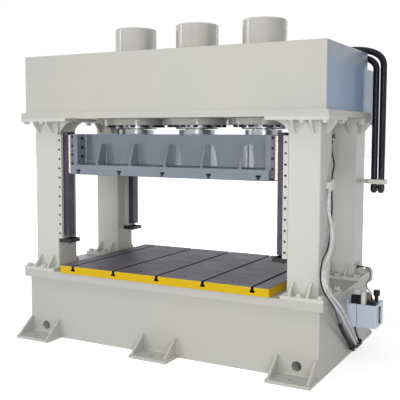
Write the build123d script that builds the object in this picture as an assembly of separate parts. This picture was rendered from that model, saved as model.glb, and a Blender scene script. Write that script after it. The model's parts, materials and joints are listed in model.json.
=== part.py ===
from build123d import *
import os
from math import cos, pi, radians, sin, tan

# A hydraulic press with four box columns, a slide on four guide rails and three cylinders in its crown.
# The origin is on the floor, midway between the columns. +X is to the right along the bed, +Y to the rear.
# All sizes are in millimetres.

# T-slots of the bolster and of the slide, for M24 bolts
slot_count = 5
slot_throat = 28.0
slot_throat_depth = 32.0
slot_head_width = 50.0
slot_head_height = 20.0

# Base, a welded box with a thick top plate
base_length = 3220.0
base_depth = 1490.0
base_height = 700.0
base_plate_thick = 80.0
base_plate_overhang = 45.0
edge_bevel = 6.0

# Feet, each a floor plate with two triangular gussets
foot_length = 410.0
foot_reach = 230.0
foot_plate_thick = 30.0
foot_gusset_thick = 25.0
foot_gusset_height = 160.0
foot_gusset_inset = 12.0
foot_nose = 18.0
anchor_hole_radius = 21.0
anchor_hole_reach = 140.0
lifting_hole_radius = 46.0
lifting_hole_height = 108.0

# Bolster plate
bolster_column_gap = 98.0
bolster_end_margin = 160.0
bolster_proud = 10.0
bolster_thick = 80.0
bolster_screw_radius = 12.0
bolster_screw_head_radius = 18.0
bolster_screw_head_height = 24.0
bolster_screw_sink = 30.0
bolster_screw_edge = 120.0
bolster_screw_socket = 19.0
bore_gap = 1.0

# Columns, welded box sections with end plates and gussets
column_side_inset = 37.0
column_front_inset = 66.0
column_width = 295.0
column_depth = 295.0
column_height = 1580.0
column_end_plate = 30.0
column_gusset_thick = 20.0
column_gusset_height = 118.0
column_gusset_reach = 105.0
column_gusset_offset = 84.0
column_plate_inset = 20.0
haunch_reach = 165.0
haunch_height = 130.0
haunch_offset = 100.0
haunch_hollow = 0.34

# Crown, a welded box on a flange plate, with a lower deck along its rear
crown_end_overhang = 30.0
crown_front_overhang = 2.0
crown_deck_depth = 271.0
crown_box_height = 583.0
crown_deck_height = 425.0
crown_flange_overhang = 34.0
crown_flange_thick = 55.0

# Hexagon bolts that hold the column end plates
column_bolt_across_flats = 55.0
column_bolt_head = 22.0
column_bolt_washer_radius = 33.0
column_bolt_washer_thick = 5.0

# Cylinders
cylinder_pitch = 750.0
barrel_radius = 220.0
bore_radius = 160.0
barrel_above_crown = 315.0
barrel_top_thick = 95.0
barrel_top_bevel = 8.0
barrel_flange_radius = 342.0
barrel_flange_thick = 65.0
barrel_fit = 0.4
lift_hole_radius = 12.0
lift_hole_depth = 40.0
lift_hole_spread = 240.0
flange_bolt_count = 14
flange_bolt_circle_radius = 285.0
flange_bolt_across_flats = 46.0
flange_bolt_head = 19.0

# Cylinder heads with their seals
head_band = 36.0
head_spigot_depth = 118.0
head_spigot_gap = 0.3
head_screw_count = 10
head_screw_circle_radius = 190.0
head_screw_radius = 15.0
head_screw_height = 14.0
screw_sink = 2.0
screw_recess_gap = 1.0
seal_groove_depth = 10.0
seal_height = 14.0
seal_from_bottom = 60.0
wiper_groove_depth = 8.0
wiper_height = 12.0
running_gap = 0.3

# Piston rods, pistons and the split clamps that hold the rods to the slide
rod_radius = 118.0
rod_neck_radius = 96.0
rod_foot_height = 18.0
rod_neck_height = 30.0
rod_spigot_radius = 70.0
piston_height = 150.0
piston_top_gap = 12.0
piston_gap = 1.5
piston_seal_height = 16.0
piston_seal_depth = 12.0
piston_seal_pitch = 60.0
rod_clamp_radius = 185.0
rod_clamp_split = 3.0
rod_clamp_fit = 0.5
rod_clamp_screw_radius = 14.0
rod_clamp_screw_head = 14.0
rod_clamp_screw_circle_radius = 154.0
rod_clamp_screw_angles = (22.5, 67.5, 112.5, 157.5)

# Slide
head_clamp_gap = 8.0
slide_height = 411.0
slide_stroke = 600.0
slide_plate_proud = 50.0
slide_plate_thick = 100.0
slide_web_inset = 195.0
slide_end_thick = 50.0
slide_gusset_end_gap = 250.0
slide_gusset_thick = 25.0
slide_gusset_height = 212.0
slide_gusset_foot = 150.0
slide_gusset_top = 84.0
slide_gusset_nose = 40.0

# Guide rails on strips of the columns, and the gibs of the slide that run on them
rail_thick = 64.0
rail_depth = 100.0
rail_set_back = 29.0
rail_overrun = 52.0
rail_cap_gap = 107.0
strip_proud = 46.0
strip_behind_rail = 10.0
strip_overrun = 26.0
gib_set_back = 10.0
gib_rail_gap = 25.0
gib_wall = 43.0
gib_lip = 40.0
gib_liner_thick = 24.3
gib_liner_inset = 8.0
gib_lip_reach = 125.0
gib_screw_count = 5
gib_screw_radius = 11.0
gib_screw_head = 8.0
gib_screw_inset = 16.0
gib_screw_from_top = 27.6
gib_screw_from_bottom = 15.4
end_bolt_count = 3
end_bolt_across_flats = 30.0
end_bolt_head = 14.0
end_bolt_drop = 18.4
rail_screw_count = 11
rail_screw_radius = 10.0
rail_screw_head = 7.0
rail_screw_from_bottom = 29.1
rail_screw_from_top = 83.9

# Oil trays below the rails
tray_length = 144.0
tray_depth = 160.0
tray_height = 40.0
tray_wall = 4.0
tray_proud = 20.0
tray_drain_radius = 9.0
tray_drain_length = 24.0

# Position switch, its bracket and the striker on the slide
switch_bracket_thick = 8.0
switch_bracket_width = 93.0
switch_bracket_height = 100.0
switch_shelf_depth = 91.0
switch_shelf_width = 40.0
switch_shelf_drop = 161.0
switch_height = 41.0
switch_gland_radius = 12.0
switch_gland_length = 30.0
switch_gland_back = 40.0
switch_hole_gap = 0.5
striker_gap = 6.0
striker_thick = 12.0
striker_height = 30.0
striker_foot = 90.0
striker_column_gap = 48.0

# Conduit box on the right front column, gland block and elbows at the foot of the base
conduit_box_thick = 35.0
conduit_box_set_back = 12.0
conduit_box_depth = 114.0
conduit_box_height = 57.0
conduit_box_bottom = 1655.0
conduit_box_lid = 3.0
gland_wall = 5.0
gland_length = 42.0
gland_block_length = 57.0
gland_block_depth = 58.0
gland_block_height = 30.0
gland_block_proud = 29.0
gland_block_bottom = 1316.0
elbow_radius = 24.0
elbow_collar = 46.0
elbow_stand_off = 30.0
elbow_nipple_radius = 15.0
elbow_height = 52.0
long_elbow_y = 288.0
short_elbow_y = 354.0
sleeve_elbow_y = 172.0
feed_elbow_y = 412.0

# Mouths of the glands that the cords leave, in X, Y and Z from a corner of what carries them
long_gland_offset = (19.0, 26.0, -23.0)
trunk_gland_offset = (17.0, -18.0, -20.0)
switch_gland_offset = (17.0, -18.0, 16.0)
block_gland_offset = (-14.0, 39.0, -16.0)
feed_gland_offset = (37.0, 100.0, -19.0)
grease_outlet_offset = (-41.0, 14.0, 32.0)
grease_fitting_offset = (25.0, 102.0, 106.0)

# Hydraulic hoses from the manifold on the deck down the right rear column
hose_radius = 32.0
hose_bend_radius = 190.0
hose_from_rear = 144.0
hose_flange_gap = 7.0
hose_above_deck = 205.0
hose_spacing = 71.0
hose_end_z = 1632.0
ferrule_radius = 36.0
ferrule_length = 62.0
hose_plug_radius = 27.0
hose_plug_length = 18.0
manifold_length = 220.0
manifold_depth = 108.0
manifold_end_gap = 260.0
manifold_above_port = 46.0
clamp_height = 45.0
clamp_above_end = 8.0
clamp_side = 14.0
clamp_half_depth = 44.0
clamp_slit = 1.0
bracket_thick = 10.0
bracket_strap_height = 30.0
bracket_strap_front = 150.0

# Lubricator on the right side of the base
lubricator_front = 60.0
lubricator_depth = 270.0
lubricator_bottom = 305.0
lubricator_height = 220.0
lubricator_plate_thick = 8.0
lubricator_plate_gap = 8.0
pump_length = 78.0
tank_length = 184.0
tank_wall = 4.0
tank_lid_thick = 8.0
tank_gap = 3.0
tank_joint_inset = 30.0
sheet_corner = 10.0
gauge_width = 38.0
gauge_height = 160.0
gauge_thick = 8.0
frame_length = 109.0
frame_height = 130.0
frame_sheet = 6.0
frame_lip = 32.0
frame_setback = 58.0
terminal_length = 86.0
terminal_height = 83.0
terminal_depth = 52.0
terminal_left = 26.0
motor_radius = 23.0
motor_height = 118.0
valve_length = 62.0
valve_depth = 34.0
valve_height = 116.0
valve_shoulder = 34.8
valve_crest = 18.6
outlet_bar_length = 86.0
outlet_bar_depth = 20.0
outlet_bar_height = 35.0
outlet_radius = 8.0
outlet_height = 20.0
outlet_pitch = 30.0
cap_radius = 29.0
cap_height = 52.0
cap_from_end = 31.0
cap_neck_radius = 18.0
cap_neck_height = 95.0
cap_neck_cover = 21.0
cap_gap = 0.3
cap_rib_count = 12
cap_rib_radius = 3.0
grease_pipe_radius = 5.0
grease_fitting_radius = 9.0

# Cords. Each route is a list of points, chosen by hand
conduit_radius = 16.0
small_conduit_radius = 12.0
cable_radius = 7.0
sleeve_radius = 18.0
feed_cable_radius = 9.0

conduit_long_route = [
    (1592, -484, 1632), (1596, -520, 1560), (1602, -540, 1475), (1606, -500, 1395), (1611, -460, 1312),
    (1620, -490, 1212), (1629, -545, 1120), (1638, -648, 1055), (1642, -755, 1020), (1662, -862, 962),
    (1684, -882, 856), (1700, -802, 767), (1698, -640, 665), (1672, -390, 545), (1656, -150, 375),
    (1648, 75, 205),
]
conduit_short_route = [
    (1588, -345, 1300), (1592, -352, 1222), (1604, -405, 1135), (1614, -505, 1070), (1628, -612, 1035),
    (1642, -705, 998), (1662, -785, 925), (1688, -800, 840), (1708, -735, 765), (1712, -610, 690),
    (1695, -395, 585), (1668, -165, 437), (1654, 95, 246),
]
switch_cable_route = [
    (1553, -336, 2051), (1553, -336, 1990), (1570, -338, 1925), (1592, -360, 1862), (1593, -398, 1805),
    (1590, -414, 1762), (1590, -414, 1728),
]
trunk_cable_route = [
    (1590, -414, 1635), (1590, -414, 1575), (1590, -396, 1495), (1590, -408, 1415), (1590, -400, 1335),
    (1590, -438, 1240), (1590, -490, 1135), (1593, -575, 1082), (1610, -690, 1070), (1640, -820, 1022),
    (1668, -925, 955), (1694, -935, 860), (1706, -862, 785), (1720, -762, 705), (1714, -640, 622),
    (1680, -485, 520), (1664, -335, 413),
]
sleeve_route = [(1664, -335, 413), (1648, -185, 306), (1640, -12, 184)]
feed_cable_route = [(1655, 160, 286), (1651, 215, 222), (1645, 295, 150)]
grease_route = [
    (1598, 486, 806), (1652, 474, 816), (1704, 432, 804), (1738, 392, 762), (1746, 330, 722),
    (1742, 250, 704), (1752, 168, 688), (1790, 118, 664), (1832, 84, 634), (1838, 76, 592),
]

# Sizes worked out from the ones above
foot_xs = [-(base_length - foot_length) / 2, 0.0, (base_length - foot_length) / 2]
base_side = base_length / 2
base_front = base_depth / 2
column_outer_x = base_side - column_side_inset
column_outer_y = base_front - column_front_inset
column_inner_x = column_outer_x - column_width
column_inner_y = column_outer_y - column_depth
column_centre_x = column_outer_x - column_width / 2
column_centre_y = column_outer_y - column_depth / 2
column_foot_left = column_inner_x - column_plate_inset
column_foot_right = base_side + base_plate_overhang
column_foot_front = base_front + base_plate_overhang
column_foot_top = base_height + column_end_plate
bolster_half_length = column_foot_left - bolster_column_gap
bolster_depth = (column_foot_front + bolster_proud) * 2
bolster_top = base_height + bolster_thick
slot_pitch = (bolster_half_length - bolster_end_margin) * 2 / (slot_count - 1)
slot_xs = [slot_pitch * (k - (slot_count - 1) / 2) for k in range(slot_count)]
crown_length = base_length + crown_end_overhang * 2
crown_front = base_front + crown_front_overhang
crown_box_rear = crown_front - crown_deck_depth
crown_flange_bottom = base_height + column_height
crown_bottom = crown_flange_bottom + crown_flange_thick
crown_top = crown_bottom + crown_box_height
deck_top = crown_bottom + crown_deck_height
column_cap_bottom = crown_flange_bottom - column_end_plate
column_cap_right = crown_length / 2 + crown_flange_overhang
column_cap_front = crown_front + crown_flange_overhang
cylinder_xs = [-cylinder_pitch, 0.0, cylinder_pitch]
barrel_top = crown_top + barrel_above_crown
barrel_flange_bottom = crown_flange_bottom - barrel_flange_thick
head_bottom = barrel_flange_bottom - head_band
head_top = barrel_flange_bottom + head_spigot_depth
head_screw_seat = head_bottom + screw_sink
bore_top = barrel_top - barrel_top_thick
rod_clamp_height = rod_foot_height + rod_neck_height
slide_top = head_bottom - head_clamp_gap - rod_clamp_height
slide_bottom = slide_top - slide_height
slide_plate_top = slide_bottom + slide_plate_thick
rod_clamp_screw_top = slide_top + rod_clamp_height - screw_sink
piston_top = bore_top - piston_top_gap
piston_bottom = piston_top - piston_height
rail_back_x = column_inner_x - strip_proud
rail_face_x = rail_back_x - rail_thick
rail_front = column_outer_y - rail_set_back
rail_rear = rail_front - rail_depth
rail_bottom = slide_bottom - slide_stroke - rail_overrun
rail_top = column_cap_bottom - rail_cap_gap
strip_rear = rail_rear - strip_behind_rail
rail_screw_span = rail_top - rail_bottom - rail_screw_from_top - rail_screw_from_bottom
rail_screw_pitch = rail_screw_span / (rail_screw_count - 1)
slide_half_length = rail_face_x - gib_rail_gap - gib_wall
slide_end_inner = slide_half_length - slide_end_thick
slide_gusset_pitch = (slide_end_inner - slide_gusset_end_gap) / 2
gib_front = rail_front - gib_set_back
gib_outer_x = slide_half_length + gib_wall
gib_lip_front = rail_rear - running_gap - gib_liner_thick
gib_lip_rear = gib_lip_front - gib_lip
gib_screw_span = slide_height - gib_screw_from_top - gib_screw_from_bottom
gib_screw_pitch = gib_screw_span / (gib_screw_count - 1)
slide_end_depth = gib_front * 2
slide_plate_depth = (gib_front + slide_plate_proud) * 2
slide_web_depth = slide_plate_depth - slide_web_inset * 2
conduit_box_rear = column_inner_y + conduit_box_set_back
lubricator_top = lubricator_bottom + lubricator_height
lubricator_rear = lubricator_front + lubricator_depth
plate_face = base_side + lubricator_plate_thick
tank_left = plate_face + pump_length + tank_gap
tank_right = tank_left + tank_length
frame_left = base_side + base_plate_overhang + tank_gap * 2
frame_front = lubricator_front + frame_setback
hose_y = column_outer_y - hose_from_rear
hose_inner_x = column_cap_right + hose_flange_gap + hose_radius
hose_outer_x = hose_inner_x + hose_spacing
hose_outer_z = deck_top + hose_above_deck
hose_inner_z = hose_outer_z - hose_spacing
manifold_right = crown_length / 2 - manifold_end_gap
clamp_bottom = hose_end_z + clamp_above_end

def block(x0, x1, y0, y1, z0, z1):
    """A box between two corners, whichever way round they are given."""
    size = (abs(x1 - x0), abs(y1 - y0), abs(z1 - z0))
    return Pos((x0 + x1) / 2, (y0 + y1) / 2, (z0 + z1) / 2) * Box(*size)


def disc(x, y, z0, z1, radius):
    """An upright cylinder."""
    return Pos(x, y, (z0 + z1) / 2) * Cylinder(radius, abs(z1 - z0))


def ring(x, y, z0, z1, outer, inner):
    """An upright ring."""
    return disc(x, y, z0, z1, outer) - disc(x, y, z0 - 1, z1 + 1, inner)


def bar_x(x0, x1, y, z, radius):
    """A round bar along X."""
    return Pos((x0 + x1) / 2, y, z) * Rot(0, 90, 0) * Cylinder(radius, abs(x1 - x0))


def bar_y(x, y0, y1, z, radius):
    """A round bar along Y."""
    return Pos(x, (y0 + y1) / 2, z) * Rot(90, 0, 0) * Cylinder(radius, abs(y1 - y0))


def hexagon_head(across_flats, height):
    """A hexagon bolt head that stands on the XY plane."""
    return extrude(RegularPolygon(across_flats / 2, 6, major_radius=False), height)


def plate_yz(points, x, thick):
    """A flat plate with an outline in Y and Z, centred on x."""
    plane = Plane(origin=(x, 0, 0), x_dir=(0, 1, 0), z_dir=(1, 0, 0))
    return extrude(plane * Polygon(*points, align=None), thick / 2, both=True)


def plate_xz(points, y, thick):
    """A flat plate with an outline in X and Z, centred on y."""
    plane = Plane(origin=(0, y, 0), x_dir=(1, 0, 0), z_dir=(0, -1, 0))
    return extrude(plane * Polygon(*points, align=None), thick / 2, both=True)


def on_circle(count, radius, start=0.0):
    """Points spaced evenly round a circle."""
    turns = [2 * pi * (k + start) / count for k in range(count)]
    return [(radius * cos(a), radius * sin(a)) for a in turns]


def t_slot(x, half_depth, surface, into):
    """The space of a T-slot along Y. into is -1 where it goes down from the surface, 1 where it goes up."""
    neck_end = surface + into * slot_throat_depth
    head_end = neck_end + into * slot_head_height
    end = half_depth + 1
    neck = block(x - slot_throat / 2, x + slot_throat / 2, -end, end, surface - into, neck_end)
    return neck + block(x - slot_head_width / 2, x + slot_head_width / 2, -end, end, neck_end, head_end)


def upright_edges(shape):
    """The edges of a shape that run along Z."""
    return shape.edges().filter_by(Axis.Z)


def foot(x, side):
    """A floor plate with two triangular gussets, front for side -1 and rear for side 1."""
    wall = side * base_front
    tip = side * (base_front + foot_reach)
    plate = block(x - foot_length / 2, x + foot_length / 2, wall - side, tip, 0, foot_plate_thick)
    outline = [
        (wall - side, foot_plate_thick), (tip - side * foot_nose, foot_plate_thick),
        (tip - side * foot_nose, foot_plate_thick + foot_nose / 2),
        (wall + side * foot_nose, foot_plate_thick + foot_gusset_height),
        (wall - side, foot_plate_thick + foot_gusset_height),
    ]
    hole_y = side * (base_front + anchor_hole_reach)
    result = plate - disc(x, hole_y, -1, foot_plate_thick + 1, anchor_hole_radius)
    for end in (-1, 1):
        gusset_x = x + end * (foot_length / 2 - foot_gusset_inset - foot_gusset_thick / 2)
        result += plate_yz(outline, gusset_x, foot_gusset_thick)
    return result


def make_base():
    """The welded base, with its top plate, six feet and two lifting holes that run through it."""
    box = block(-base_side, base_side, -base_front, base_front, 0, base_height - base_plate_thick)
    box = chamfer(upright_edges(box), edge_bevel)
    plate = block(-column_foot_right, column_foot_right, -column_foot_front, column_foot_front,
                  base_height - base_plate_thick, base_height)
    plate = chamfer(upright_edges(plate), edge_bevel)
    base = box + plate
    for x in foot_xs:
        for side in (-1, 1):
            base += foot(x, side)
    for x in (foot_xs[0], foot_xs[-1]):
        base -= bar_y(x, -base_front - 1, base_front + 1, lifting_hole_height, lifting_hole_radius)
    return base


def bolster_screw_places():
    """The places of the bolster's screws, between the slots along both long edges."""
    xs = [x + slot_pitch / 2 for x in slot_xs[:-1]]
    y = bolster_depth / 2 - bolster_screw_edge
    return [(x, side * y) for x in xs for side in (-1, 1)]


def make_bolster():
    """The bolster plate with its T-slots and counterbored screw holes."""
    half_length, half_depth = bolster_half_length, bolster_depth / 2
    plate = block(-half_length, half_length, -half_depth, half_depth, base_height, bolster_top)
    plate = chamfer(plate.edges().group_by(Axis.Z)[-1], edge_bevel / 2)
    for x in slot_xs:
        plate -= t_slot(x, half_depth, bolster_top, -1)
    seat = bolster_top - bolster_screw_sink
    for x, y in bolster_screw_places():
        plate -= disc(x, y, seat, bolster_top + 1, bolster_screw_head_radius + bore_gap)
        plate -= disc(x, y, base_height - 1, bolster_top, bolster_screw_radius + bore_gap)
    return plate


def make_bolster_screws():
    """Cap screws that stand in the bolster's counterbores, on the base plate."""
    screws = []
    seat = bolster_top - bolster_screw_sink
    socket = hexagon_head(bolster_screw_socket, bolster_screw_head_height)
    for x, y in bolster_screw_places():
        head = disc(x, y, seat, seat + bolster_screw_head_height, bolster_screw_head_radius)
        shank = disc(x, y, base_height, seat, bolster_screw_radius)
        screws.append(head + shank - Pos(x, y, seat + bolster_screw_head_height / 2) * socket)
    return Compound(children=screws)


def column_gussets(sx, sy, seat, up):
    """The gussets at one end of a column. up is 1 at the foot and -1 at the cap."""
    reach_out = (column_foot_right if up > 0 else column_cap_right) - column_outer_x - edge_bevel
    tip = seat + up * column_gusset_height
    nose = up * foot_nose
    parts = []
    for face in (-1, 1):
        wall = column_centre_y + face * column_depth / 2
        end = wall + face * column_gusset_reach
        outline = [
            (wall - face, seat), (end, seat), (end, seat + nose), (wall + face * foot_nose, tip),
            (wall - face, tip),
        ]
        outline = [(sy * y, z) for y, z in outline]
        for side in (-1, 1):
            x = sx * (column_centre_x + side * column_gusset_offset)
            parts.append(plate_yz(outline, x, column_gusset_thick))
    end = column_outer_x + reach_out
    outline = [
        (column_outer_x - 1, seat), (end, seat), (end, seat + nose), (column_outer_x + foot_nose, tip),
        (column_outer_x - 1, tip),
    ]
    parts.append(plate_xz([(sx * x, z) for x, z in outline], sy * column_centre_y, column_gusset_thick))
    return parts


def column_haunches(sx, sy):
    """The two gussets with a hollow curved edge, below the crown on the inner face of a column."""
    parts = []
    reach, height = haunch_reach, haunch_height
    points = [
        (sx * column_inner_x, column_cap_bottom), (sx * (column_inner_x - reach), column_cap_bottom),
        (sx * (column_inner_x - reach * haunch_hollow), column_cap_bottom - height * haunch_hollow),
        (sx * column_inner_x, column_cap_bottom - height),
    ]
    for side in (-1, 1):
        y = sy * (column_centre_y + side * haunch_offset)
        corner, tip, bend, low = [Vector(x, y - column_gusset_thick / 2, z) for x, z in points]
        outline = Wire([Line(corner, tip), ThreePointArc(tip, bend, low), Line(low, corner)])
        parts.append(extrude(Face(outline), amount=column_gusset_thick, dir=(0, 1, 0)))
    return parts


def make_column(sx, sy):
    """A welded box column with its end plates, gussets and the strip that carries a guide rail."""
    column = block(sx * column_inner_x, sx * column_outer_x, sy * column_inner_y, sy * column_outer_y,
                   column_foot_top, column_cap_bottom)
    column = chamfer(upright_edges(column), edge_bevel)
    plate_rear = column_inner_y - column_gusset_reach - edge_bevel
    cap_left = column_inner_x - haunch_reach - column_plate_inset
    column += block(sx * column_foot_left, sx * column_foot_right, sy * plate_rear, sy * column_foot_front,
                    base_height, column_foot_top)
    column += block(sx * cap_left, sx * column_cap_right, sy * plate_rear, sy * column_cap_front,
                    column_cap_bottom, crown_flange_bottom)
    parts = column_gussets(sx, sy, column_foot_top, 1) + column_gussets(sx, sy, column_cap_bottom, -1)
    for part in parts + column_haunches(sx, sy):
        column += part
    column += block(sx * rail_back_x, sx * (column_inner_x + 1), sy * strip_rear, sy * column_outer_y,
                    rail_bottom - strip_overrun, rail_top - strip_overrun)
    return column


def column_bolt_places(right, front):
    """The places of the bolts in one column end plate: between the gussets and in its outer corners."""
    outer_x = right - column_bolt_washer_radius - edge_bevel
    outer_y = front - column_bolt_washer_radius - edge_bevel
    inner_y = column_inner_y - column_gusset_reach + column_bolt_washer_radius
    return [(x, y) for x in (column_centre_x, outer_x) for y in (inner_y, outer_y)]


def make_column_bolts():
    """Hexagon bolt heads with washers on all the column end plates."""
    bolts = []
    for sx in (-1, 1):
        for sy in (-1, 1):
            for x, y in column_bolt_places(column_foot_right, column_foot_front):
                bolts.append(column_bolt(sx * x, sy * y, column_foot_top, 1))
            for x, y in column_bolt_places(column_cap_right, column_cap_front):
                bolts.append(column_bolt(sx * x, sy * y, column_cap_bottom, -1))
    return Compound(children=bolts)


def column_bolt(x, y, seat, up):
    """One bolt head on its washer. up is 1 where it points up and -1 where it points down."""
    washer = disc(x, y, seat, seat + up * column_bolt_washer_thick, column_bolt_washer_radius)
    base = seat + up * column_bolt_washer_thick
    low = base if up > 0 else base - column_bolt_head
    return washer + Pos(x, y, low) * hexagon_head(column_bolt_across_flats, column_bolt_head)


def make_crown():
    """The crown: a flange plate, the tall box, the lower rear deck and bores for the three barrels."""
    flange = block(-column_cap_right, column_cap_right, -column_cap_front, column_cap_front,
                   crown_flange_bottom, crown_bottom)
    flange = chamfer(upright_edges(flange), edge_bevel)
    half = crown_length / 2
    box = block(-half, half, -crown_front, crown_box_rear, crown_bottom, crown_top)
    box = chamfer(upright_edges(box) + box.edges().group_by(Axis.Z)[-1], edge_bevel)
    deck = block(-half, half, crown_box_rear - edge_bevel, crown_front, crown_bottom, deck_top)
    deck = chamfer(upright_edges(deck).group_by(Axis.Y)[-1], edge_bevel)
    crown = flange + box + deck
    for x in cylinder_xs:
        crown -= disc(x, 0, crown_flange_bottom - 1, crown_top + 1, barrel_radius + barrel_fit)
    return crown


def make_barrel(x):
    """A cylinder barrel with a closed top and a mounting flange below the crown."""
    body = disc(x, 0, barrel_flange_bottom, barrel_top, barrel_radius)
    body = chamfer(body.edges().group_by(Axis.Z)[-1], barrel_top_bevel)
    flange = disc(x, 0, barrel_flange_bottom, crown_flange_bottom, barrel_flange_radius)
    flange = chamfer(flange.edges().group_by(Axis.Z)[0], edge_bevel)
    barrel = body + flange - disc(x, 0, barrel_flange_bottom - 1, bore_top, bore_radius)
    low = barrel_top - lift_hole_depth
    for side in (-1, 1):
        barrel -= disc(x + side * lift_hole_spread / 2, 0, low, barrel_top + 1, lift_hole_radius)
    return barrel


def make_flange_bolts():
    """Hexagon bolt heads under the barrel flanges."""
    bolts = []
    for x in cylinder_xs:
        for dx, dy in on_circle(flange_bolt_count, flange_bolt_circle_radius, 0.5):
            seat = barrel_flange_bottom - flange_bolt_head
            bolts.append(Pos(x + dx, dy, seat) * hexagon_head(flange_bolt_across_flats, flange_bolt_head))
    return Compound(children=bolts)


def make_head(x):
    """A cylinder head: a band below the barrel, a spigot in its bore, and grooves for the rod seals."""
    band = disc(x, 0, head_bottom, barrel_flange_bottom, barrel_radius)
    band = chamfer(band.edges().group_by(Axis.Z)[0], edge_bevel)
    spigot = disc(x, 0, barrel_flange_bottom, head_top, bore_radius - head_spigot_gap)
    head = band + spigot - disc(x, 0, head_bottom - 1, head_top + 1, rod_radius + running_gap)
    screw_top = head_screw_seat + head_screw_height
    for dx, dy in on_circle(head_screw_count, head_screw_circle_radius):
        head -= disc(x + dx, dy, head_bottom - 1, screw_top, head_screw_radius + screw_recess_gap)
    low = head_bottom + seal_from_bottom
    head -= disc(x, 0, low, low + seal_height, rod_radius + seal_groove_depth)
    return head - disc(x, 0, head_bottom - 1, head_bottom + wiper_height, rod_radius + wiper_groove_depth)


def make_rod_seals():
    """The rod seal and the wiper ring of each cylinder head."""
    rings = []
    for x in cylinder_xs:
        low = head_bottom + seal_from_bottom
        inner = rod_radius + running_gap
        rings.append(ring(x, 0, low, low + seal_height, rod_radius + seal_groove_depth, inner))
        wiper_top = head_bottom + wiper_height
        rings.append(ring(x, 0, head_bottom, wiper_top, rod_radius + wiper_groove_depth, inner))
    return Compound(children=rings)


def make_head_screws():
    """Cap screw heads sunk into the underside of each cylinder head."""
    screws = []
    top = head_screw_seat + head_screw_height
    for x in cylinder_xs:
        for dx, dy in on_circle(head_screw_count, head_screw_circle_radius):
            screws.append(disc(x + dx, dy, head_screw_seat, top, head_screw_radius))
    return Compound(children=screws)


def make_rod(x):
    """A piston rod: a foot and a neck for the clamp, the ground shaft, and a spigot for the piston."""
    neck_low = slide_top + rod_foot_height
    neck_high = neck_low + rod_neck_height
    rod = disc(x, 0, slide_top, neck_low, rod_radius)
    rod += disc(x, 0, neck_low, neck_high, rod_neck_radius)
    rod += disc(x, 0, neck_high, piston_bottom, rod_radius)
    return rod + disc(x, 0, piston_bottom, piston_top, rod_spigot_radius)


def piston_groove_lows():
    """The lower faces of the two seal grooves of a piston."""
    middle = (piston_bottom + piston_top) / 2
    return [middle + side * piston_seal_pitch / 2 - piston_seal_height / 2 for side in (-1, 1)]


def make_pistons():
    """The pistons, each with two seal grooves."""
    pistons = []
    for x in cylinder_xs:
        piston = ring(x, 0, piston_bottom, piston_top, bore_radius - piston_gap, rod_spigot_radius)
        for low in piston_groove_lows():
            piston -= ring(x, 0, low, low + piston_seal_height, bore_radius + 1,
                           bore_radius - piston_gap - piston_seal_depth)
        pistons.append(piston)
    return Compound(children=pistons)


def make_piston_seals():
    """The seal rings of the pistons."""
    outer = bore_radius - running_gap
    inner = bore_radius - piston_gap - piston_seal_depth
    return Compound(children=[ring(x, 0, low, low + piston_seal_height, outer, inner)
                              for x in cylinder_xs for low in piston_groove_lows()])


def rod_clamp_screw_places():
    """The places of the screws round one rod clamp, as offsets from its centre."""
    radius = rod_clamp_screw_circle_radius
    angles = [radians(side * angle) for side in (-1, 1) for angle in rod_clamp_screw_angles]
    return [(radius * cos(a), radius * sin(a)) for a in angles]


def make_rod_clamps():
    """The split rings that hold the rods' feet down on the slide, with sunk screws."""
    halves = []
    top = slide_top + rod_clamp_height
    for x in cylinder_xs:
        clamp = disc(x, 0, slide_top, top, rod_clamp_radius)
        clamp -= disc(x, 0, slide_top - 1, slide_top + rod_foot_height, rod_radius + rod_clamp_fit)
        clamp -= disc(x, 0, slide_top, top + 1, rod_neck_radius + rod_clamp_fit)
        for dx, dy in rod_clamp_screw_places():
            clamp -= disc(x + dx, dy, rod_clamp_screw_top - rod_clamp_screw_head, top + 1,
                          rod_clamp_screw_radius + screw_recess_gap)
        for side in (-1, 1):
            keep = block(x - rod_clamp_radius, x + rod_clamp_radius, side * rod_clamp_split / 2,
                         side * (rod_clamp_radius + 1), slide_top, top)
            halves.append(clamp & keep)
    return Compound(children=halves)


def make_rod_clamp_screws():
    """Cap screw heads sunk into the rod clamps."""
    low = rod_clamp_screw_top - rod_clamp_screw_head
    return Compound(children=[disc(x + dx, dy, low, rod_clamp_screw_top, rod_clamp_screw_radius)
                              for x in cylinder_xs for dx, dy in rod_clamp_screw_places()])


def make_slide():
    """The slide: a T-slotted bottom plate, a box web, ribs front and rear, and end plates for the gibs."""
    half_length, half_plate = slide_half_length, slide_plate_depth / 2
    plate = block(-half_length, half_length, -half_plate, half_plate, slide_bottom, slide_plate_top)
    plate = chamfer(plate.edges().group_by(Axis.Z)[0], edge_bevel / 2)
    for x in slot_xs:
        plate -= t_slot(x, half_plate, slide_bottom, 1)
    low, half_web, half_end = slide_plate_top, slide_web_depth / 2, slide_end_depth / 2
    slide = plate + block(-slide_end_inner, slide_end_inner, -half_web, half_web, low, slide_top)
    for side in (-1, 1):
        slide += block(side * slide_end_inner, side * half_length, -half_end, half_end, low, slide_top)
        outline = [
            (side * (half_web - 1), low), (side * (half_web + slide_gusset_foot), low),
            (side * (half_web + slide_gusset_foot), low + slide_gusset_nose),
            (side * (half_web + slide_gusset_top), low + slide_gusset_height),
            (side * (half_web - 1), low + slide_gusset_height),
        ]
        for k in (-2, -1, 0, 1, 2):
            slide += plate_yz(outline, k * slide_gusset_pitch, slide_gusset_thick)
    return slide


def make_gib(sx, sy):
    """An L-shaped gib beside an end plate of the slide, round the inner corner of a guide rail."""
    inner, tip = sx * slide_half_length, sx * (slide_half_length + gib_lip_reach)
    gib = block(inner, sx * gib_outer_x, sy * gib_lip_rear, sy * gib_front, slide_bottom, slide_top)
    gib += block(inner, tip, sy * gib_lip_rear, sy * gib_lip_front, slide_bottom, slide_top)
    return chamfer(gib.edges().group_by(Axis.Z)[-1], edge_bevel / 2)


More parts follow.
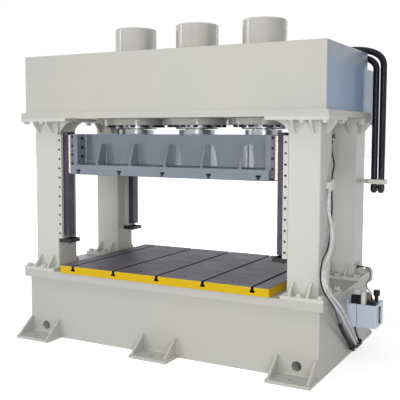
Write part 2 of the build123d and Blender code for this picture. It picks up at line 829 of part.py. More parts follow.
def make_gib_liners():
    """The bronze liners of the gibs: one on each face that bears on a rail."""
    low, high = slide_bottom + gib_liner_inset, slide_top - gib_liner_inset
    side_x = (gib_outer_x, rail_face_x - running_gap)
    side_y = (rail_rear + gib_liner_inset, gib_front)
    back_x = (rail_face_x + gib_liner_inset, slide_half_length + gib_lip_reach)
    back_y = (gib_lip_front, rail_rear - running_gap)
    liners = []
    for sx in (-1, 1):
        for sy in (-1, 1):
            for xs, ys in ((side_x, side_y), (back_x, back_y)):
                liners.append(block(sx * xs[0], sx * xs[1], sy * ys[0], sy * ys[1], low, high))
    return Compound(children=liners)


def make_gib_screws():
    """Cap screw heads down the front of each gib, and hexagon heads inside the slide's end plates."""
    screws = []
    top = slide_top - gib_screw_from_top
    tip = gib_front + gib_screw_head
    for sx in (-1, 1):
        for sy in (-1, 1):
            x = sx * (slide_half_length + gib_screw_inset)
            for k in range(gib_screw_count):
                z = top - k * gib_screw_pitch
                screws.append(bar_y(x, sy * gib_front, sy * tip, z, gib_screw_radius))
            y = sy * (slide_web_depth / 2 + (slide_end_depth - slide_web_depth) / 4)
            for k in range(end_bolt_count):
                z = top - end_bolt_drop - k * gib_screw_pitch
                head = Rot(0, -90 * sx, 0) * hexagon_head(end_bolt_across_flats, end_bolt_head)
                screws.append(Pos(sx * slide_end_inner, y, z) * head)
    return Compound(children=screws)


def make_rail(sx, sy):
    """A guide rail, a ground steel bar on its column's strip."""
    rail = block(sx * rail_face_x, sx * rail_back_x, sy * rail_rear, sy * rail_front, rail_bottom, rail_top)
    return chamfer(upright_edges(rail), edge_bevel / 3)


def make_rail_screws():
    """Cap screw heads down the front face of each rail strip."""
    x = (rail_back_x + column_inner_x) / 2
    tip = column_outer_y + rail_screw_head
    screws = []
    for sx in (-1, 1):
        for sy in (-1, 1):
            for k in range(rail_screw_count):
                z = rail_bottom + rail_screw_from_bottom + rail_screw_pitch * k
                screws.append(bar_y(sx * x, sy * column_outer_y, sy * tip, z, rail_screw_radius))
    return Compound(children=screws)


def make_trays():
    """Open oil trays below the rails, each with a drain nipple."""
    trays = []
    bottom = rail_bottom - strip_overrun - tray_height
    wall, top = tray_wall, bottom + tray_height
    inner, outer = column_inner_x - tray_length, column_inner_x
    rear, front = rail_front + tray_proud - tray_depth, rail_front + tray_proud
    for sx in (-1, 1):
        for sy in (-1, 1):
            tray = block(sx * inner, sx * outer, sy * rear, sy * front, bottom, top)
            tray -= block(sx * (inner + wall), sx * (outer - wall), sy * (rear + wall), sy * (front - wall),
                          bottom + wall, top + 1)
            x, y = sx * (inner + outer) / 2, sy * (rear + front) / 2
            trays.append(tray + disc(x, y, bottom - tray_drain_length, bottom, tray_drain_radius))
    return Compound(children=trays)


def switch_shelf_bottom():
    """The underside of the shelf that the position switch stands on."""
    return column_cap_bottom - switch_shelf_drop - switch_bracket_thick


def make_switch_bracket():
    """An angle bracket on the rear face of the right front column."""
    wall, thick = -column_inner_y, switch_bracket_thick
    low, half_height = switch_shelf_bottom(), switch_bracket_height / 2
    shelf = block(column_outer_x - switch_shelf_width, column_outer_x,
                  wall, wall + thick + switch_shelf_depth, low, low + thick)
    plate = block(column_outer_x - switch_bracket_width, column_outer_x - edge_bevel, wall, wall + thick,
                  low - half_height, low + half_height)
    hole = disc(*switch_gland_place(), low - 1, low + thick + 1, switch_gland_radius + switch_hole_gap)
    return plate + shelf - hole


def switch_gland_place():
    """The X and Y of the position switch's cable gland."""
    y = -column_inner_y + switch_bracket_thick + switch_gland_back
    return column_outer_x - switch_shelf_width / 2, y


def make_switch():
    """The position switch, a moulded block with its cable gland below the shelf."""
    low = switch_shelf_bottom() + switch_bracket_thick
    front = -column_inner_y + switch_bracket_thick
    body = block(column_outer_x - switch_shelf_width, column_outer_x, front + switch_bracket_thick,
                 front + switch_shelf_depth, low, low + switch_height)
    body = fillet(upright_edges(body), edge_bevel / 2)
    gland_low = low - switch_bracket_thick - switch_gland_length
    return body + disc(*switch_gland_place(), gland_low, low, switch_gland_radius)


def make_striker():
    """The striker: a bar from the slide's right end plate to the switch, on a foot plate."""
    y = -column_inner_y + striker_column_gap
    middle, half_foot = y + striker_thick / 2, striker_foot / 2
    tip = column_outer_x - switch_shelf_width - striker_gap
    high = slide_top - edge_bevel
    bar = block(slide_half_length, tip, y, y + striker_thick, high - striker_height, high)
    return bar + block(slide_half_length, slide_half_length + striker_thick, middle - half_foot,
                       middle + half_foot, high - striker_foot, high)


def nipple(corner, offset, run, length, radius):
    """A round nipple that a cord leaves face to face.

    Its mouth lies at an offset from a corner of what carries it, and faces along the cord's run.
    """
    mouth = Vector(*corner) + Vector(*offset)
    back = (Vector(*run[0]) - Vector(*run[1])).normalized()
    return Plane(origin=mouth, z_dir=back) * Pos(0, 0, length / 2) * Cylinder(radius, length)


def make_conduit_box():
    """The conduit box on the outer face of the right front column, with its lid and three glands."""
    x = column_outer_x
    y0, y1 = -conduit_box_rear - conduit_box_depth, -conduit_box_rear
    z0, z1 = conduit_box_bottom, conduit_box_bottom + conduit_box_height
    box = block(x, x + conduit_box_thick, y0, y1, z0, z1)
    box += block(x + conduit_box_thick, x + conduit_box_thick + conduit_box_lid, y0 - conduit_box_lid,
                 y1 + conduit_box_lid, z0 - conduit_box_lid, z1 + conduit_box_lid)
    gland_radius = cable_radius + gland_wall
    box += nipple((x, y0, z0), long_gland_offset, conduit_long_route[:2], gland_length, conduit_radius)
    box += nipple((x, y1, z0), trunk_gland_offset, trunk_cable_route[:2], gland_length, gland_radius)
    last_run = switch_cable_route[:-3:-1]
    return box + nipple((x, y1, z1), switch_gland_offset, last_run, gland_length, gland_radius)


def make_gland_block():
    """The block on the rear face of the right front column that the thinner conduit leaves downward."""
    right, front, low = column_outer_x + gland_block_proud, -column_inner_y, gland_block_bottom
    body = block(right - gland_block_length, right, front, front + gland_block_depth, low,
                 low + gland_block_height)
    gland_radius = small_conduit_radius + gland_wall / 2
    run = conduit_short_route[:2]
    return body + nipple((right, front, low), block_gland_offset, run, gland_length, gland_radius)


def make_elbow(centre, source):
    """A conduit elbow on the base wall, with a collar that faces the last point of its cord."""
    core = Vector(*centre)
    way = (Vector(*source) - core).normalized()
    collar = Pos(0, 0, elbow_collar / 2) * Cylinder(elbow_radius, elbow_collar)
    collar = Plane(origin=core, z_dir=way) * collar
    stub = bar_x(base_side, centre[0], centre[1], centre[2], elbow_nipple_radius)
    return Pos(*centre) * Sphere(elbow_radius) + collar + stub


def elbow_mouth(centre, source):
    """The point where a cord meets the collar of its elbow."""
    core = Vector(*centre)
    return core + (Vector(*source) - core).normalized() * elbow_collar


def with_elbow(route, y):
    """A route that goes on to its elbow at y, and the elbow itself."""
    centre = (base_side + elbow_stand_off, y, elbow_height)
    end = elbow_mouth(centre, route[-1])
    return route + [(end.X, end.Y, end.Z)], make_elbow(centre, route[-1])


def tube(name, route, radius):
    """A cord's tube: straight runs joined by tangent arcs, each as large as its two runs allow."""
    points = [Vector(*p) for p in route]
    radii = []
    for before, corner, after in zip(points, points[1:], points[2:]):
        run_in, run_out = corner - before, after - corner
        half_turn = radians(run_in.get_angle(run_out)) / 2
        radii.append(0.45 * min(run_in.length, run_out.length) / tan(half_turn))
    path = FilletPolyline(*points, radius=radii)
    section = Plane(origin=points[0], z_dir=points[1] - points[0]) * Circle(radius)
    solid = sweep(section, path=path)
    ratio = solid.volume / (pi * radius ** 2 * path.length)
    print(f"{name}: length {path.length:.0f}, volume over section times length {ratio:.4f}, radii "
          + " ".join(f"{r:.0f}" for r in radii))
    return solid


def make_hose(x, z):
    """A hose from the manifold over the deck, round one bend and down to its end fitting."""
    start = (manifold_right + ferrule_length, hose_y, z)
    path = FilletPolyline(start, (x, hose_y, z), (x, hose_y, hose_end_z), radius=hose_bend_radius)
    section = Plane(origin=start, z_dir=(1, 0, 0)) * Circle(hose_radius)
    return sweep(section, path=path)


def make_hose_fittings():
    """The crimped ferrules at both ends of the hoses, and the plugs in the lower ones."""
    parts = []
    for x, z in ((hose_outer_x, hose_outer_z), (hose_inner_x, hose_inner_z)):
        top = bar_x(manifold_right, manifold_right + ferrule_length, hose_y, z, ferrule_radius - 1)
        low = hose_end_z - ferrule_length
        bottom = disc(x, hose_y, low, hose_end_z, ferrule_radius - 1)
        bottom += disc(x, hose_y, low - hose_plug_length, low, hose_plug_radius)
        parts += [top, bottom]
    return Compound(children=parts)


def make_manifold():
    """The steel manifold block on the crown's deck that the hoses start from."""
    top = hose_outer_z + manifold_above_port
    manifold = block(manifold_right - manifold_length, manifold_right, hose_y - manifold_depth / 2,
                     hose_y + manifold_depth / 2, deck_top, top)
    return chamfer(upright_edges(manifold), edge_bevel / 2)


def clamp_span():
    """The X range of the hose clamp."""
    return hose_inner_x - hose_radius - clamp_side, hose_outer_x + hose_radius + clamp_side


def make_hose_clamp():
    """The two halves of the hose clamp, split on the hoses' centre plane."""
    x0, x1 = clamp_span()
    halves = []
    for side in (-1, 1):
        half = block(x0, x1, hose_y + side * clamp_slit / 2, hose_y + side * clamp_half_depth,
                     clamp_bottom, clamp_bottom + clamp_height)
        for x in (hose_inner_x, hose_outer_x):
            half -= disc(x, hose_y, clamp_bottom - 1, clamp_bottom + clamp_height + 1, hose_radius)
        halves.append(half)
    return Compound(children=halves)


def make_hose_bracket():
    """The arm that carries the hose clamp, and its strap round a corner of the right rear column."""
    x1 = clamp_span()[1]
    rear = hose_y + clamp_half_depth
    far = rear + bracket_thick
    arm = block(column_outer_x, x1, rear, far, clamp_bottom, clamp_bottom + clamp_height)
    low = clamp_bottom + (clamp_height - bracket_strap_height) / 2
    high = low + bracket_strap_height
    strap_right = column_outer_x + bracket_thick / 2
    side_strap = block(column_outer_x, strap_right, column_inner_y, far, low, high)
    front_strap = block(column_outer_x - bracket_strap_front, strap_right,
                        column_inner_y - bracket_thick / 2, column_inner_y, low, high)
    return arm + side_strap + front_strap


def make_lubricator_bracket():
    """The plate on the base wall that carries the lubricator."""
    top = base_height - base_plate_thick - lubricator_plate_gap
    return block(base_side, plate_face, lubricator_front, lubricator_rear, lubricator_bottom, top)


def make_lubricator_frame():
    """The folded sheet that stands on the pump and the tank's lid behind the terminal box and the motor."""
    right = frame_left + frame_length
    top = lubricator_top + frame_height
    sheet = block(frame_left, right, frame_front, frame_front + frame_sheet, lubricator_top, top)
    return sheet + block(frame_left, right, frame_front - frame_lip, frame_front, top - frame_sheet, top)


def make_pump():
    """The pump housing between the bracket plate and the tank, with the gland of its cable below."""
    pump = block(plate_face, plate_face + pump_length, lubricator_front, lubricator_rear,
                 lubricator_bottom, lubricator_top)
    pump = fillet(upright_edges(pump), sheet_corner / 2)
    gland_radius = feed_cable_radius + gland_wall / 2
    corner = (plate_face, lubricator_front, lubricator_bottom)
    return pump + nipple(corner, feed_gland_offset, feed_cable_route[:2], gland_length, gland_radius)


def make_tank():
    """The lubricator's tank: a folded and welded sheet box that stands open under its lid plate."""
    y0, y1 = lubricator_front, lubricator_rear
    top = lubricator_top - tank_lid_thick
    tank = block(tank_left, tank_right, y0, y1, lubricator_bottom, top)
    tank = fillet(upright_edges(tank), sheet_corner)
    wall, inset = tank_wall, tank_joint_inset
    tank -= block(tank_left + wall, tank_right - wall, y0 + wall, y1 - wall,
                  lubricator_bottom + wall, top + 1)
    return tank + block(plate_face + pump_length, tank_left + 1, y0 + inset, y1 - inset,
                        lubricator_bottom + inset, top - inset)


def make_gauge():
    """The level gauge on the end of the tank."""
    y = (lubricator_front + lubricator_rear) / 2
    z = (lubricator_bottom + lubricator_top) / 2
    gauge = block(tank_right, tank_right + gauge_thick, y - gauge_width / 2, y + gauge_width / 2,
                  z - gauge_height / 2, z + gauge_height / 2)
    return chamfer(gauge.edges().group_by(Axis.X)[-1], gauge_thick / 4)


def cap_place():
    """The X and Y of the filler neck."""
    return tank_right - cap_from_end, lubricator_front + lubricator_depth / 2


def make_tank_lid():
    """The tank's lid with the neck that the filler cap screws on."""
    low = lubricator_top - tank_lid_thick
    lid = block(tank_left, tank_right, lubricator_front, lubricator_rear, low, lubricator_top)
    lid = fillet(upright_edges(lid), sheet_corner)
    x, y = cap_place()
    lid += disc(x, y, lubricator_top - 1, lubricator_top + cap_neck_height, cap_neck_radius)
    return lid - disc(x, y, low - 1, lubricator_top + cap_neck_height + 1, cap_neck_radius - tank_wall)


def make_cap():
    """The filler cap, ribbed round its rim, over the neck with a small gap."""
    x, y = cap_place()
    neck_top = lubricator_top + cap_neck_height
    low = neck_top - cap_neck_cover
    cap = disc(x, y, low, low + cap_height, cap_radius)
    cap = chamfer(cap.edges().group_by(Axis.Z)[-1], edge_bevel / 2)
    for dx, dy in on_circle(cap_rib_count, cap_radius):
        cap += disc(x + dx, y + dy, low, low + cap_height - edge_bevel, cap_rib_radius)
    return cap - disc(x, y, low - 1, neck_top + cap_gap, cap_neck_radius + cap_gap)


def motor_place():
    """The X and Y of the pump's motor, beside the terminal box and in front of the frame."""
    x = plate_face + terminal_left + terminal_length + motor_radius
    return x, frame_front - motor_radius - tank_gap


def make_motor():
    """The pump's upright motor."""
    x, y = motor_place()
    motor = disc(x, y, lubricator_top, lubricator_top + motor_height, motor_radius)
    return chamfer(motor.edges().group_by(Axis.Z)[-1], edge_bevel / 2)


def make_terminal_box():
    """The moulded terminal box in front of the frame."""
    x0 = plate_face + terminal_left - tank_gap
    box = block(x0, x0 + terminal_length, frame_front - terminal_depth, frame_front,
                lubricator_top, lubricator_top + terminal_height)
    return fillet(upright_edges(box), edge_bevel / 3)


def make_valve():
    """The bronze distributor on the tank's lid, with one sloping side."""
    x0 = motor_place()[0] + motor_radius + tank_gap * 2
    low, high = lubricator_top, lubricator_top + valve_height
    outline = [
        (x0, low), (x0 + valve_length, low), (x0 + valve_length, low + valve_shoulder),
        (x0 + valve_crest, high), (x0, high),
    ]
    return plate_xz(outline, frame_front - valve_depth / 2, valve_depth)


def make_outlet_bar():
    """The moulded outlet bar before the distributor, with its upright outlets and the pipe's nipple."""
    right = tank_right - tank_wall
    y0 = lubricator_front + tank_wall / 2
    top = lubricator_top + outlet_bar_height
    bar = block(right - outlet_bar_length, right, y0, y0 + outlet_bar_depth, lubricator_top, top)
    for k in (-1, 1):
        x = right - outlet_bar_length / 2 + k * outlet_pitch
        bar += disc(x, y0 + outlet_bar_depth / 2, top - 1, top + outlet_height, outlet_radius)
    run, radius = grease_route[:-3:-1], grease_fitting_radius
    return bar + nipple((right, y0, top), grease_outlet_offset, run, gland_length, radius)


def make_grease_elbow():
    """The fitting on the outer face of the right rear column that the grease pipe ends in."""
    corner = (column_outer_x, column_inner_y, base_height)
    x, y, z = Vector(*corner) + Vector(*grease_fitting_offset)
    radius = grease_fitting_radius
    length = x - column_outer_x + radius
    fitting = nipple(corner, grease_fitting_offset, grease_route[:2], length, radius)
    fitting += block(column_outer_x, column_outer_x + radius, y - radius, y + radius * 2,
                     z - radius * 2, z + radius)
    return fitting & block(column_outer_x, x + length, y - length, y + length, z - length, z + length)


def build_nodes():
    """Every node of the press by its name."""
    nodes = {
        "base_frame": make_base(),
        "bolster_plate": make_bolster(),
        "bolster_screws": make_bolster_screws(),
        "column_bolts": make_column_bolts(),
        "crown_frame": make_crown(),
        "cylinder_barrels": Compound(children=[make_barrel(x) for x in cylinder_xs]),
        "cylinder_flange_bolts": make_flange_bolts(),
        "cylinder_heads": Compound(children=[make_head(x) for x in cylinder_xs]),
        "piston_rods": Compound(children=[make_rod(x) for x in cylinder_xs]),
        "cylinder_head_screws": make_head_screws(),
        "rod_seals": make_rod_seals(),
        "pistons": make_pistons(),
        "piston_seals": make_piston_seals(),
        "rod_clamps": make_rod_clamps(),
        "rod_clamp_screws": make_rod_clamp_screws(),
        "slide_frame": make_slide(),
        "gib_liners": make_gib_liners(),
        "gib_screws": make_gib_screws(),
        "guide_rails": Compound(children=[make_rail(sx, sy) for sx in (-1, 1) for sy in (-1, 1)]),
        "rail_screws": make_rail_screws(),
        "oil_trays": make_trays(),
        "switch_bracket": make_switch_bracket(),
        "position_switch": make_switch(),
        "switch_striker": make_striker(),
        "hose_outer": make_hose(hose_outer_x, hose_outer_z),
        "hose_inner": make_hose(hose_inner_x, hose_inner_z),
        "hose_fittings": make_hose_fittings(),
        "hose_clamp": make_hose_clamp(),
        "hose_bracket": make_hose_bracket(),
        "manifold_block": make_manifold(),
        "lubricator_bracket": make_lubricator_bracket(),
        "lubricator_frame": make_lubricator_frame(),
        "lubricator_pump": make_pump(),
        "lubricator_tank": make_tank(),
        "lubricator_lid": make_tank_lid(),
        "lubricator_cap": make_cap(),
        "lubricator_motor": make_motor(),
        "lubricator_terminal_box": make_terminal_box(),
        "lubricator_valve": make_valve(),
        "lubricator_outlet_bar": make_outlet_bar(),
        "lubricator_gauge": make_gauge(),
        "grease_fitting": make_grease_elbow(),
    }
    for side_name, sx in (("left", -1), ("right", 1)):
        for end_name, sy in (("front", -1), ("rear", 1)):
            nodes[f"column_{end_name}_{side_name}"] = make_column(sx, sy)
            nodes[f"gib_{end_name}_{side_name}"] = make_gib(sx, sy)
    nodes.update(cord_nodes())
    return nodes


def cord_nodes():
    """The conduits and cables, the box and glands that they come out of, and their elbows."""
    long_route, long_elbow = with_elbow(conduit_long_route, long_elbow_y)
    short_route, short_elbow = with_elbow(conduit_short_route, short_elbow_y)
    sleeve_path, sleeve_elbow = with_elbow(sleeve_route, sleeve_elbow_y)
    feed_route, feed_elbow = with_elbow(feed_cable_route, feed_elbow_y)
    return {
        "conduit_box": make_conduit_box(),
        "gland_block": make_gland_block(),
        "conduit_elbows": Compound(children=[long_elbow, short_elbow, sleeve_elbow, feed_elbow]),
        "conduit_long": tube("conduit_long", long_route, conduit_radius),
        "conduit_short": tube("conduit_short", short_route, small_conduit_radius),
        "switch_cable": tube("switch_cable", switch_cable_route, cable_radius),
        "trunk_cable": tube("trunk_cable", trunk_cable_route, cable_radius),
        "cable_sleeve": tube("cable_sleeve", sleeve_path, sleeve_radius),
        "lubricator_cable": tube("lubricator_cable", feed_route, feed_cable_radius),
        "grease_pipe": tube("grease_pipe", grease_route, grease_pipe_radius),
    }


os.makedirs("parts", exist_ok=True)
for node_name, node_shape in build_nodes().items():
    export_step(node_shape, f"parts/{node_name}.step")
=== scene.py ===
"""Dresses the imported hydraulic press: finishes, cords, welds, screws and fine fittings, light and camera.

The press stands on the floor with +X to its right, +Y to its rear and +Z up. Lengths are in metres, and those
whose name ends in _mm are in millimetres.
"""

import json
import logging
import math
from dataclasses import dataclass, field
from enum import Enum
from functools import partial
from typing import Any, Callable, ClassVar, Iterable, Sequence

import bpy
from mathutils import Matrix, Vector

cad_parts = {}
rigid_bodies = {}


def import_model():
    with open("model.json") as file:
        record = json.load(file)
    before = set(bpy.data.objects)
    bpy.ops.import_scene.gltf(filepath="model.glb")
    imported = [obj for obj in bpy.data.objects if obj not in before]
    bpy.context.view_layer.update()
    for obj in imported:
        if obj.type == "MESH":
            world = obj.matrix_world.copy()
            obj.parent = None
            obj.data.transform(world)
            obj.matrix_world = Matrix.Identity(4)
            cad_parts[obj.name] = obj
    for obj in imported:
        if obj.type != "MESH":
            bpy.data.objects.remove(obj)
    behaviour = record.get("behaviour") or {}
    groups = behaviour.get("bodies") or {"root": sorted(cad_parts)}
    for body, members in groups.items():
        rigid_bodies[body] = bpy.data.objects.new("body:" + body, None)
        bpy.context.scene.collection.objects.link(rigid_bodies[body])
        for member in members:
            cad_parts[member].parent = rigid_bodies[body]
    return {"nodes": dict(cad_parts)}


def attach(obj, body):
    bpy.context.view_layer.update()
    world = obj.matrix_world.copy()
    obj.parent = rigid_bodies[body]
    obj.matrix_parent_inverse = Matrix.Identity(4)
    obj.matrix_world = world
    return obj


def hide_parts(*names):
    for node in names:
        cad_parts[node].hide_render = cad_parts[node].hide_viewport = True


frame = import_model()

log = logging.getLogger("press")
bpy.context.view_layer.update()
MM = 0.001
WHITE = (1.0, 1.0, 1.0, 1.0)
CORNERS = ((-1, -1), (-1, 1), (1, -1), (1, 1))
Point = tuple[float, float, float]
Object, Tree, Node, Socket = bpy.types.Object, bpy.types.NodeTree, bpy.types.Node, bpy.types.NodeSocket
Adder = Callable[..., Node]

# The fillet welds: the distance between two ripples, how much narrower every second one is, how far the bead's
# root lies inside the corner, and where its face stands between flat and full.
WELD_RIPPLE, WELD_NECK, WELD_ROOT, WELD_FACE = 8 * MM, 0.9, 0.0004, 0.62

# The corrugated jackets: sections along one ring, points round each section, and half of the ring's depth as a
# share of the radius. Such rings are usually about 5 mm apart. They are drawn 16 and 20 mm apart to show.
RING_SECTIONS, TUBE_SIDES, RING_DEPTH = 8, 16, 0.08


class Body(Enum):
    """The rigid bodies that pieces ride on."""

    FRAME = "frame"
    SLIDE = "slide"


class Stiffness(Enum):
    """How readily a cord bends."""

    MEDIUM = "medium"
    STIFF = "stiff"


class Jacket(Enum):
    """The outside of a cord."""

    SMOOTH = "smooth"
    CORRUGATED = "corrugated"


class LampReach(Enum):
    """What a lamp does: light matt surfaces, or draw a highlight in the gloss."""

    MATT = "matt"
    GLOSS = "gloss"


def linear(code: str) -> tuple[float, float, float, float]:
    """Turns an sRGB colour into the linear values that shaders take.

    Args:
        code: The colour as #RRGGBB.

    Returns:
        Red, green, blue and full alpha.
    """
    parts = [int(code[k:k + 2], 16) / 255 for k in (1, 3, 5)]
    flat = [c / 12.92 if c <= 0.04045 else ((c + 0.055) / 1.055) ** 2.4 for c in parts]
    return flat[0], flat[1], flat[2], 1.0


def per_metre(size_mm: float) -> float:
    """The scale at which a texture's features come out at that many millimetres."""
    return 1000.0 / size_mm


def add_node(tree: Tree, kind: str, inputs: dict[Any, Any] | None = None, **settings: Any) -> Node:
    """Adds one shader node with its settings, values and links.

    Args:
        tree: The node tree that gets it.
        kind: Blender's identifier of the node's type, without the ShaderNode before it.
        inputs: By the input's name or number, a value, an output socket, or a node whose output in use feeds it.
        settings: The node's own properties.

    Returns:
        The new node.
    """
    node = tree.nodes.new("ShaderNode" + kind)
    for name, value in settings.items():
        setattr(node, name, value)
    for key, value in (inputs or {}).items():
        if isinstance(value, Node):
            value = next(output for output in value.outputs if output.enabled)
        if isinstance(value, Socket):
            tree.links.new(value, node.inputs[key])
        else:
            node.inputs[key].default_value = value
    return node


def blend(add: Adder, pattern: Node, share: tuple[float, float, float], first: Any, second: Any) -> Node:
    """Two colours that run into each other where a pattern rises.

    Args:
        add: Adds a node to the material.
        pattern: The node that draws the pattern.
        share: The pattern's values where the second colour starts and where it is full, and then its share.
        first: The colour or node below the pattern.
        second: The colour or node that comes in with it.

    Returns:
        The node with the mixed colour.
    """
    start, full, most = share
    amount = add("MapRange", {0: pattern, 1: start, 2: full, 3: 0.0, 4: most})
    return add("Mix", {0: amount, 6: first, 7: second}, data_type="RGBA")


@dataclass(frozen=True)
class Finish:
    """What a surface is made of, and how it was made."""

    name: str

    def look(self, add: Adder, place: Socket) -> dict[str, Any]:
        """Builds the pattern of the finish.

        Args:
            add: Adds a node.
            place: The position on the object, in metres.

        Returns:
            Values and nodes for the inputs of the surface shader.
        """
        raise NotImplementedError

    def material(self) -> bpy.types.Material:
        """The material of this finish, made the first time that it is asked for.

        Returns:
            The material.
        """
        found = bpy.data.materials.get(self.name)
        if found:
            return found
        made = bpy.data.materials.new(self.name)
        made.use_nodes = True
        made.node_tree.nodes.clear()
        add = partial(add_node, made.node_tree)
        place = add("TexCoord").outputs["Object"]
        add("OutputMaterial", {"Surface": add("BsdfPrincipled", self.look(add, place))})
        return made


@dataclass(frozen=True)
class SprayedEnamel(Finish):
    """Enamel sprayed on primed steel plate: an even film with a soft gloss and a fine orange peel."""

    colour: str
    thin_coat: str
    rough: float = 0.3
    gloss_level: float = 0.25
    coat: float = 0.05
    coat_rough: float = 0.12
    cloud_mm: float = 1300.0
    film_mm: float = 220.0
    peel_mm: float = 9.0

    def tone(self, add: Adder, place: Socket) -> Node:
        """The paint's colour, a little warmer where the spray passed thinly.

        Args:
            add: Adds a node.
            place: The position on the object.

        Returns:
            The node with the colour.
        """
        cloud = add("TexNoise", {"Vector": place, "Scale": per_metre(self.cloud_mm), "Detail": 2.0})
        return blend(add, cloud, (0.3, 0.75, 1.0), linear(self.colour), linear(self.thin_coat))

    def look(self, add: Adder, place: Socket) -> dict[str, Any]:
        """Orange peel as a faint bump, drawn coarser than its real 2 mm so that it shows.

        Args:
            add: Adds a node.
            place: The position on the object.

        Returns:
            The shader's inputs.
        """
        peel = add("TexNoise", {"Vector": place, "Scale": per_metre(self.peel_mm), "Detail": 1.0})
        film = add("TexNoise", {"Vector": place, "Scale": per_metre(self.film_mm), "Detail": 3.0})
        rough = {0: film, 1: 0.2, 2: 0.8, 3: self.rough - 0.03, 4: self.rough + 0.05}
        return {"Base Color": self.tone(add, place), "Roughness": add("MapRange", rough), "IOR": 1.52,
                "Specular IOR Level": self.gloss_level, "Coat Weight": self.coat, "Coat Roughness": self.coat_rough,
                "Normal": add("Bump", {"Strength": 0.12, "Distance": 0.0006, "Height": peel})}


@dataclass(frozen=True)
class TwoToneAndPaintedReflectionEnamel(SprayedEnamel):
    """Enamel with a second colour beyond a sharp line: a masked-off second coat on the lid, and a painted reflection
    on the crown's ends.
    """

    # The defaults are the crown's ends, whose colours are a painted reflection, blue-grey and paler toward the top.
    panel: str = "#839DBC"
    panel_top: str = "#93969F"
    panel_x: float = 1.6385
    panel_z: tuple[float, float] = (2.338, 2.9165)
    top_band: float = 0.2

    def tone(self, add: Adder, place: Socket) -> Node:
        """The first colour, and the panel's farther out than panel_x and above the lower panel_z.

        Args:
            add: Adds a node.
            place: The position on the object.

        Returns:
            The node with the colour.
        """
        base = super().tone(add, place)
        axes = add("SeparateXYZ", {0: place}).outputs
        low, high = self.panel_z
        far = add("Math", {0: axes[0]}, operation="ABSOLUTE")
        on_end = add("Math", {0: far, 1: self.panel_x}, operation="GREATER_THAN")
        above = add("Math", {0: axes[2], 1: low}, operation="GREATER_THAN")
        mask = add("Math", {0: on_end, 1: above}, operation="MULTIPLY")
        height = add("MapRange", {0: axes[2], 1: high - self.top_band, 2: high, 3: 0.0, 4: 1.0})
        # On the crown's ends the panel colours are a painted reflection; on the lid they are the black filler neck.
        panel = add("Mix", {0: height, 6: linear(self.panel), 7: linear(self.panel_top)}, data_type="RGBA")
        return add("Mix", {0: mask, 6: base, 7: panel}, data_type="RGBA")


@dataclass(frozen=True)
class GroundBedPlate(Finish):
    """A ground steel bed plate: the top oiled, painted shade in the slots, the outer edges painted yellow."""

    steel: str
    oil_blue: str
    scuff: str
    edge_paint: str
    slot_painted_shade: str
    half_size: tuple[float, float]
    top_z: float
    film_mm: float = 620.0
    marks_mm: float = 14.0
    metallic: float = 0.35
    rim_width: float = 0.0012
    edge_depth: float = 0.0032

    def look(self, add: Adder, place: Socket) -> dict[str, Any]:
        """Long grinding marks and blue oil films on top, paint on the rim, painted shade in the slots.

        Args:
            add: Adds a node.
            place: The position on the object.

        Returns:
            The shader's inputs.
        """
        axes = add("SeparateXYZ", {0: place}).outputs
        beyond = []
        for axis, half in enumerate(self.half_size):
            size = add("Math", {0: axes[axis]}, operation="ABSOLUTE")
            beyond.append(add("Math", {0: size, 1: half - self.rim_width}, operation="GREATER_THAN"))
        rim = add("Math", {0: beyond[0], 1: beyond[1]}, operation="MAXIMUM")
        on_top = add("Math", {0: axes[2], 1: self.top_z - self.edge_depth}, operation="GREATER_THAN")
        film = add("TexNoise", {"Vector": place, "Scale": per_metre(self.film_mm), "Detail": 3.0, "Distortion": 0.6})
        oiled = blend(add, film, (0.47, 0.68, 0.85), linear(self.steel), linear(self.oil_blue))
        # Grinding marks run along X: about 4 mm apart in fact, drawn at 14 mm so that they show.
        stretched = add("Mapping", {"Vector": place, "Scale": (0.05, 1.0, 1.0)})
        marks = add("TexNoise", {"Vector": stretched, "Scale": per_metre(self.marks_mm), "Detail": 4.0})
        top = blend(add, marks, (0.45, 0.75, 0.7), oiled, linear(self.scuff))
        # Below the top, all but the rim is painted near black: painted shade in the slots.
        below = add("Mix", {0: rim, 6: linear(self.slot_painted_shade), 7: linear(self.edge_paint)}, data_type="RGBA")
        return {"Base Color": add("Mix", {0: on_top, 6: below, 7: top}, data_type="RGBA"),
                "Metallic": add("Math", {0: on_top, 1: self.metallic}, operation="MULTIPLY"),
                "Roughness": add("MapRange", {0: marks, 1: 0.3, 2: 0.7, 3: 0.42, 4: 0.6}),
                "Specular IOR Level": 0.3,
                "Normal": add("Bump", {"Strength": 0.2, "Distance": 0.0004, "Height": marks})}


@dataclass(frozen=True)
class MachinedMetal(Finish):
    """Metal cut to size: fine tool marks in one direction, a thin film of oil in darker drifts."""

    colour: str
    drift: str
    rough: float
    metallic: float = 0.8
    marks_along: tuple[float, float, float] = (1.0, 1.0, 0.03)
    marks_mm: float = 6.0
    marks_depth: float = 0.25
    oil_mm: float = 260.0

    def look(self, add: Adder, place: Socket) -> dict[str, Any]:
        """Tool marks a millimetre apart in fact, drawn a few millimetres apart so that they show.

        Args:
            add: Adds a node.
            place: The position on the object.

        Returns:
            The shader's inputs.
        """
        stretched = add("Mapping", {"Vector": place, "Scale": self.marks_along})
        marks = add("TexNoise", {"Vector": stretched, "Scale": per_metre(self.marks_mm), "Detail": 3.0})
        oil = add("TexNoise", {"Vector": place, "Scale": per_metre(self.oil_mm), "Detail": 3.0})
        rough = {0: marks, 1: 0.3, 2: 0.7, 3: self.rough - 0.08, 4: self.rough + 0.08}
        return {"Base Color": blend(add, oil, (0.4, 0.65, 1.0), linear(self.colour), linear(self.drift)),
                "Metallic": self.metallic, "Roughness": add("MapRange", rough),
                "Normal": add("Bump", {"Strength": self.marks_depth, "Distance": 0.0003, "Height": marks})}


